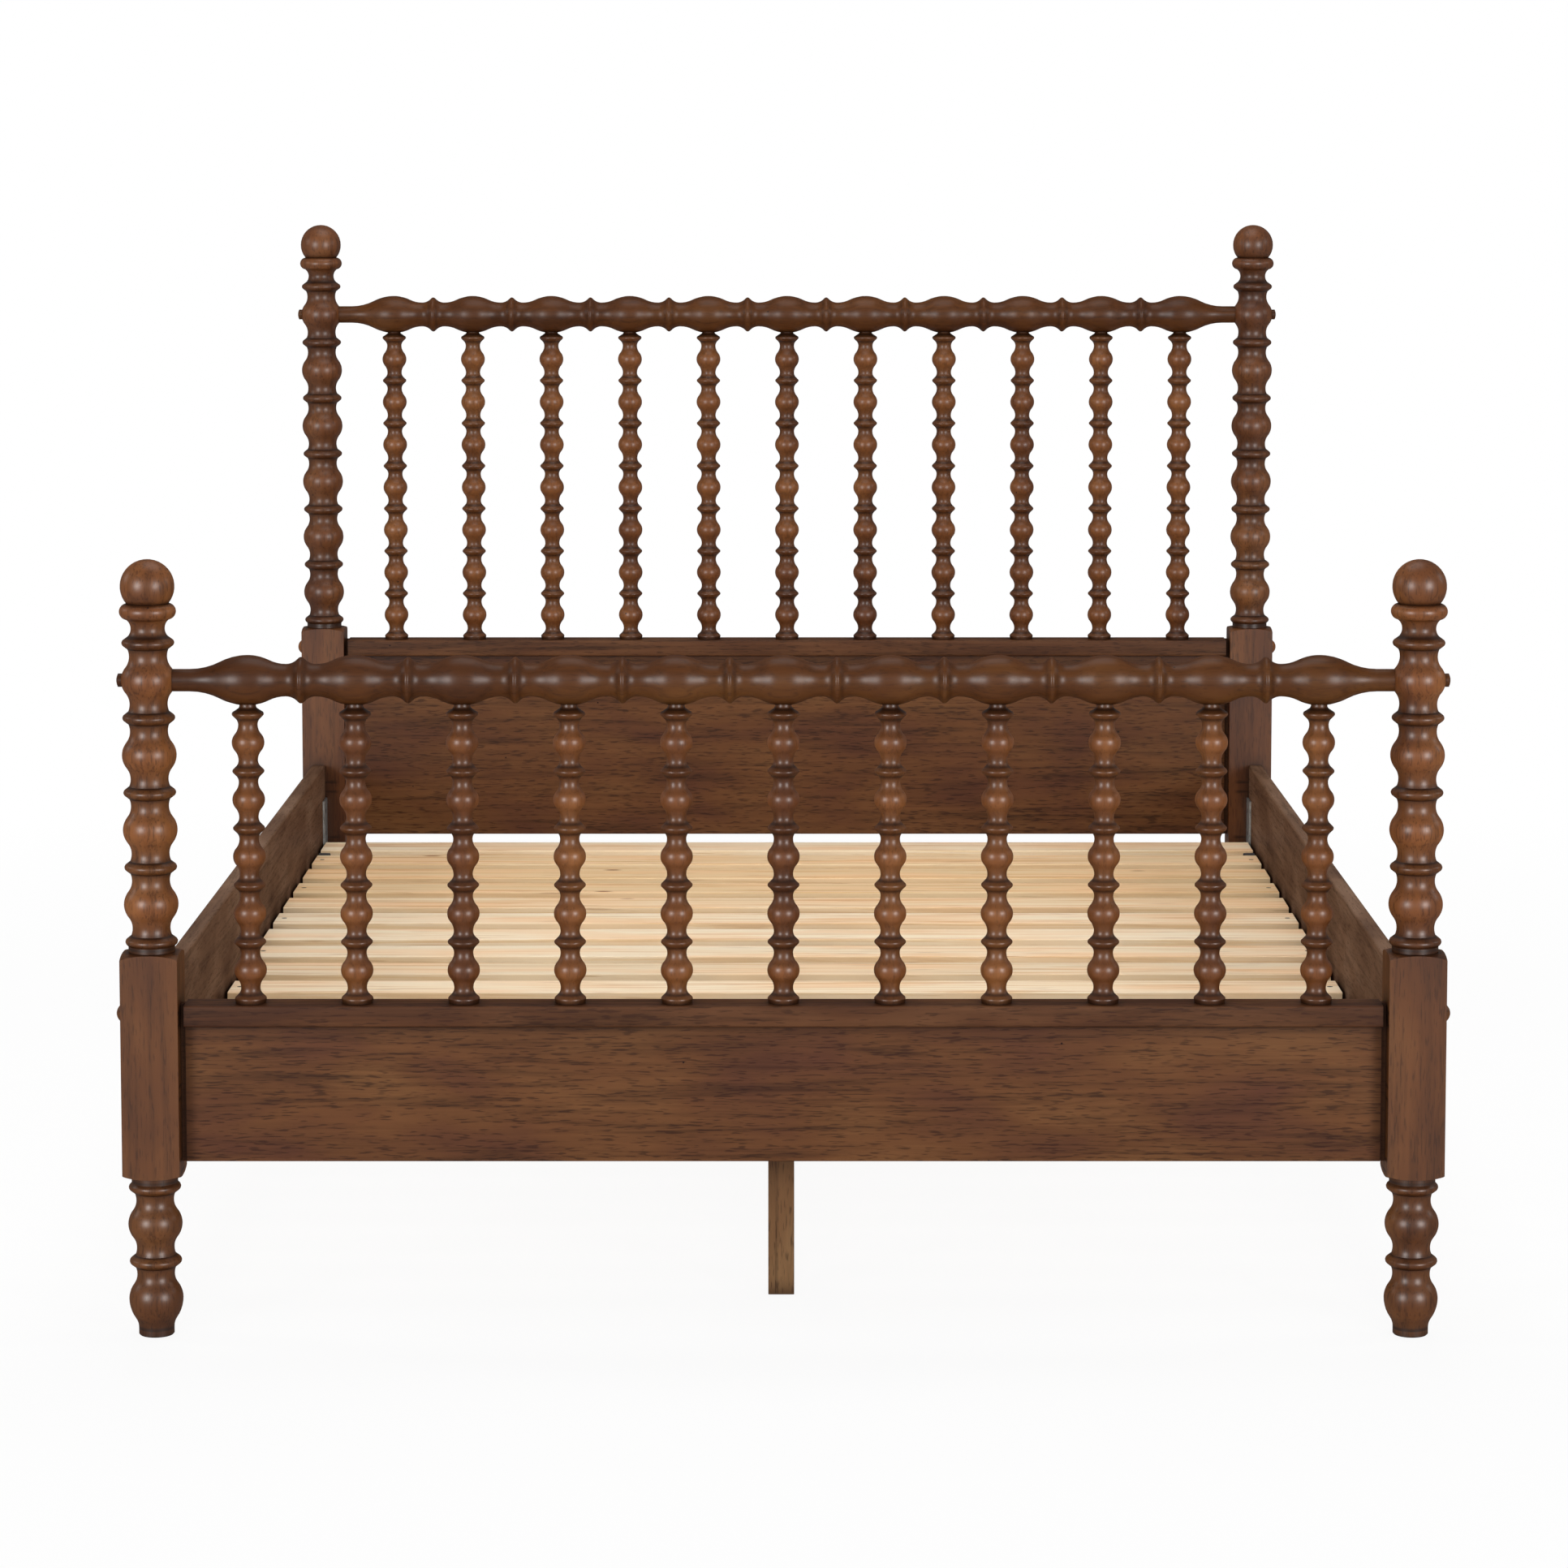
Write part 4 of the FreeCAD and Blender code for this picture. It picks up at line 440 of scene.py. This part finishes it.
def strip_height(y):
    """Height of the strip above the cleat: a round loop between the slats, with soft feet."""
    reach = abs(y - loop_middle) / loop_half
    if reach >= 1:
        return 0.0
    return loop_rise * math.sqrt(1 - reach ** 2) ** 1.15


# the grid's rows along the strip lie close together in the loop and far apart on the cleat
grid_rows, loop_rows = 280, 160
flat_rows = (grid_rows + 1 - loop_rows) // 2
last_rows = grid_rows + 1 - loop_rows - flat_rows
loop_start, loop_end = loop_middle - loop_half, loop_middle + loop_half
rows = [strip_ends[0] + (loop_start - strip_ends[0]) * i / flat_rows for i in range(flat_rows)]
rows += [loop_middle - loop_half * math.cos(math.pi * i / (loop_rows - 1))
         for i in range(loop_rows)]
rows += [loop_end + (strip_ends[1] - loop_end) * (i + 1) / last_rows for i in range(last_rows)]

webbing = woven_webbing("black_webbing")
for side, sign in (("left", -1), ("right", 1)):
    inner, outer = sorted((sign * strip_outer, sign * (strip_outer - strip_width)))
    bpy.ops.object.select_all(action="DESELECT")
    bpy.ops.mesh.primitive_grid_add(x_subdivisions=6, y_subdivisions=grid_rows, size=1,
                                    location=(0, 0, 0))
    strap = bpy.context.object
    strap.name = f"webbing_strip_{side}"
    for vertex in strap.data.vertices:
        y = rows[round((vertex.co.y + 0.5) * grid_rows)]
        vertex.co = (inner + (vertex.co.x + 0.5) * (outer - inner), y,
                     cleat_top + strip_thickness / 2 + lift + strip_height(y))
    solid = strap.modifiers.new("thickness", "SOLIDIFY")
    solid.thickness = strip_thickness
    solid.offset = 0
    bpy.ops.object.modifier_apply(modifier="thickness")
    bpy.ops.object.shade_smooth_by_angle(angle=math.radians(40))
    strap.data.materials.append(webbing)
    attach(strap, "root")
    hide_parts("slat_webbing")


# ------------------------------------------------------------ floor, lamps and camera
# A white studio: the floor and the air round it show white to the camera, in the gloss and
# through glass, and give the object little light. The floor keeps a soft shadow round the bed.

def seen_white(tree):
    """1 for camera, glossy and transmission rays, 0 for those that light the object."""
    rays = add(tree, "LightPath").outputs
    seen = add(tree, "Math", {0: rays["Is Camera Ray"], 1: rays["Is Glossy Ray"]},
               operation="MAXIMUM")
    return add(tree, "Math", {0: seen, 1: rays["Is Transmission Ray"]}, operation="MAXIMUM")


bpy.ops.object.select_all(action="DESELECT")
bpy.ops.mesh.primitive_plane_add(size=60, location=(0, 0, -0.0005))
floor = bpy.context.object
floor.name = "studio_floor"
material, tree = new_material("studio_white")
seen = seen_white(tree)
# near the bed a little of the paint's own shading shows, and none from 3.6 m out
reach = add(tree, "VectorMath", {0: add(tree, "TexCoord").outputs["Object"]}, operation="LENGTH")
far = add(tree, "MapRange", {"Value": reach.outputs["Value"], "From Min": 1.6, "From Max": 3.6,
                             "To Min": 0.92, "To Max": 1.0})
share = add(tree, "Math", {0: seen, 1: far}, operation="MULTIPLY")
painted = add(tree, "BsdfPrincipled", {"Base Color": tint("#e9e9e9"), "Roughness": 0.9,
                                       "Specular IOR Level": 0.1})
white = add(tree, "Emission", {"Color": tint("#ffffff"), "Strength": 1.0})
mixed = add(tree, "MixShader", {"Fac": share, 1: painted, 2: white})
add(tree, "OutputMaterial", {"Surface": mixed})
floor.data.materials.append(material)

world = bpy.data.worlds.new("studio")
bpy.context.scene.world = world
world.use_nodes = True
tree = world.node_tree
tree.nodes.clear()
level = add(tree, "MapRange", {"Value": seen_white(tree), "To Min": 0.13, "To Max": 1.0})
sky = add(tree, "Background", {"Color": tint("#ffffff"), "Strength": level})
add(tree, "OutputWorld", {"Surface": sky})


def lamp(name, at, target, size, watts, diffuse=True, gloss=True):
    """A soft box at a place, turned to a target; it may light the surface or the gloss alone."""
    data = bpy.data.lights.new(name, "AREA")
    data.shape = "RECTANGLE"
    data.size, data.size_y = size
    data.energy = watts
    made = bpy.data.objects.new(name, data)
    made.location = at
    made.rotation_euler = (Vector(target) - Vector(at)).to_track_quat("-Z", "Y").to_euler()
    made.visible_diffuse, made.visible_glossy = diffuse, gloss
    bpy.context.scene.collection.objects.link(made)


lamp("front_left", (-4.4, -6.5, 1.65), (0, -1, 0.7), (1.2, 1.2), 140)
lamp("front_right", (4.4, -6.5, 1.65), (0, -1, 0.7), (1.2, 1.2), 140)
lamp("side_left", (-4.55, 0.0, 2.3), (0, -0.3, 0.7), (0.7, 1.3), 45)
lamp("side_right", (4.55, 0.0, 2.3), (0, -0.3, 0.7), (0.7, 1.3), 45)
lamp("top", (0, 0.3, 4.6), (0, 0.3, 0.3), (3.0, 3.0), 125)
# wide fills before and behind the bed, which the lacquer doesn't mirror
lamp("fill_front", (0, -11.5, 3.2), (0, 0, 0.7), (4.5, 3.0), 600, gloss=False)
lamp("fill_back", (0, 11.5, 3.2), (0, 0, 0.7), (4.5, 3.0), 600, gloss=False)
# two large soft boxes for the gloss alone
lamp("gloss_left", (-4.7, -6.8, 1.7), (0, -1, 0.7), (2.6, 3.0), 920, diffuse=False)
lamp("gloss_right", (4.7, -6.8, 1.7), (0, -1, 0.7), (2.6, 3.0), 920, diffuse=False)

# place, tilt and lens come from the photograph: where the bed's long edges meet, how high the
# horizon lies, and how much smaller the headboard shows than the footboard
lens = bpy.data.cameras.new("camera")
lens.lens = 105.99
lens.sensor_width = 36
lens.shift_x = -0.008
lens.shift_y = -0.14
camera = bpy.data.objects.new("camera", lens)
camera.location = (0.016, -6.622, 1.4805)
camera.rotation_euler = (math.radians(90 - 5.409), 0, 0)
bpy.context.scene.collection.objects.link(camera)
bpy.context.scene.camera = camera
bpy.context.scene.view_settings.view_transform = "Standard"
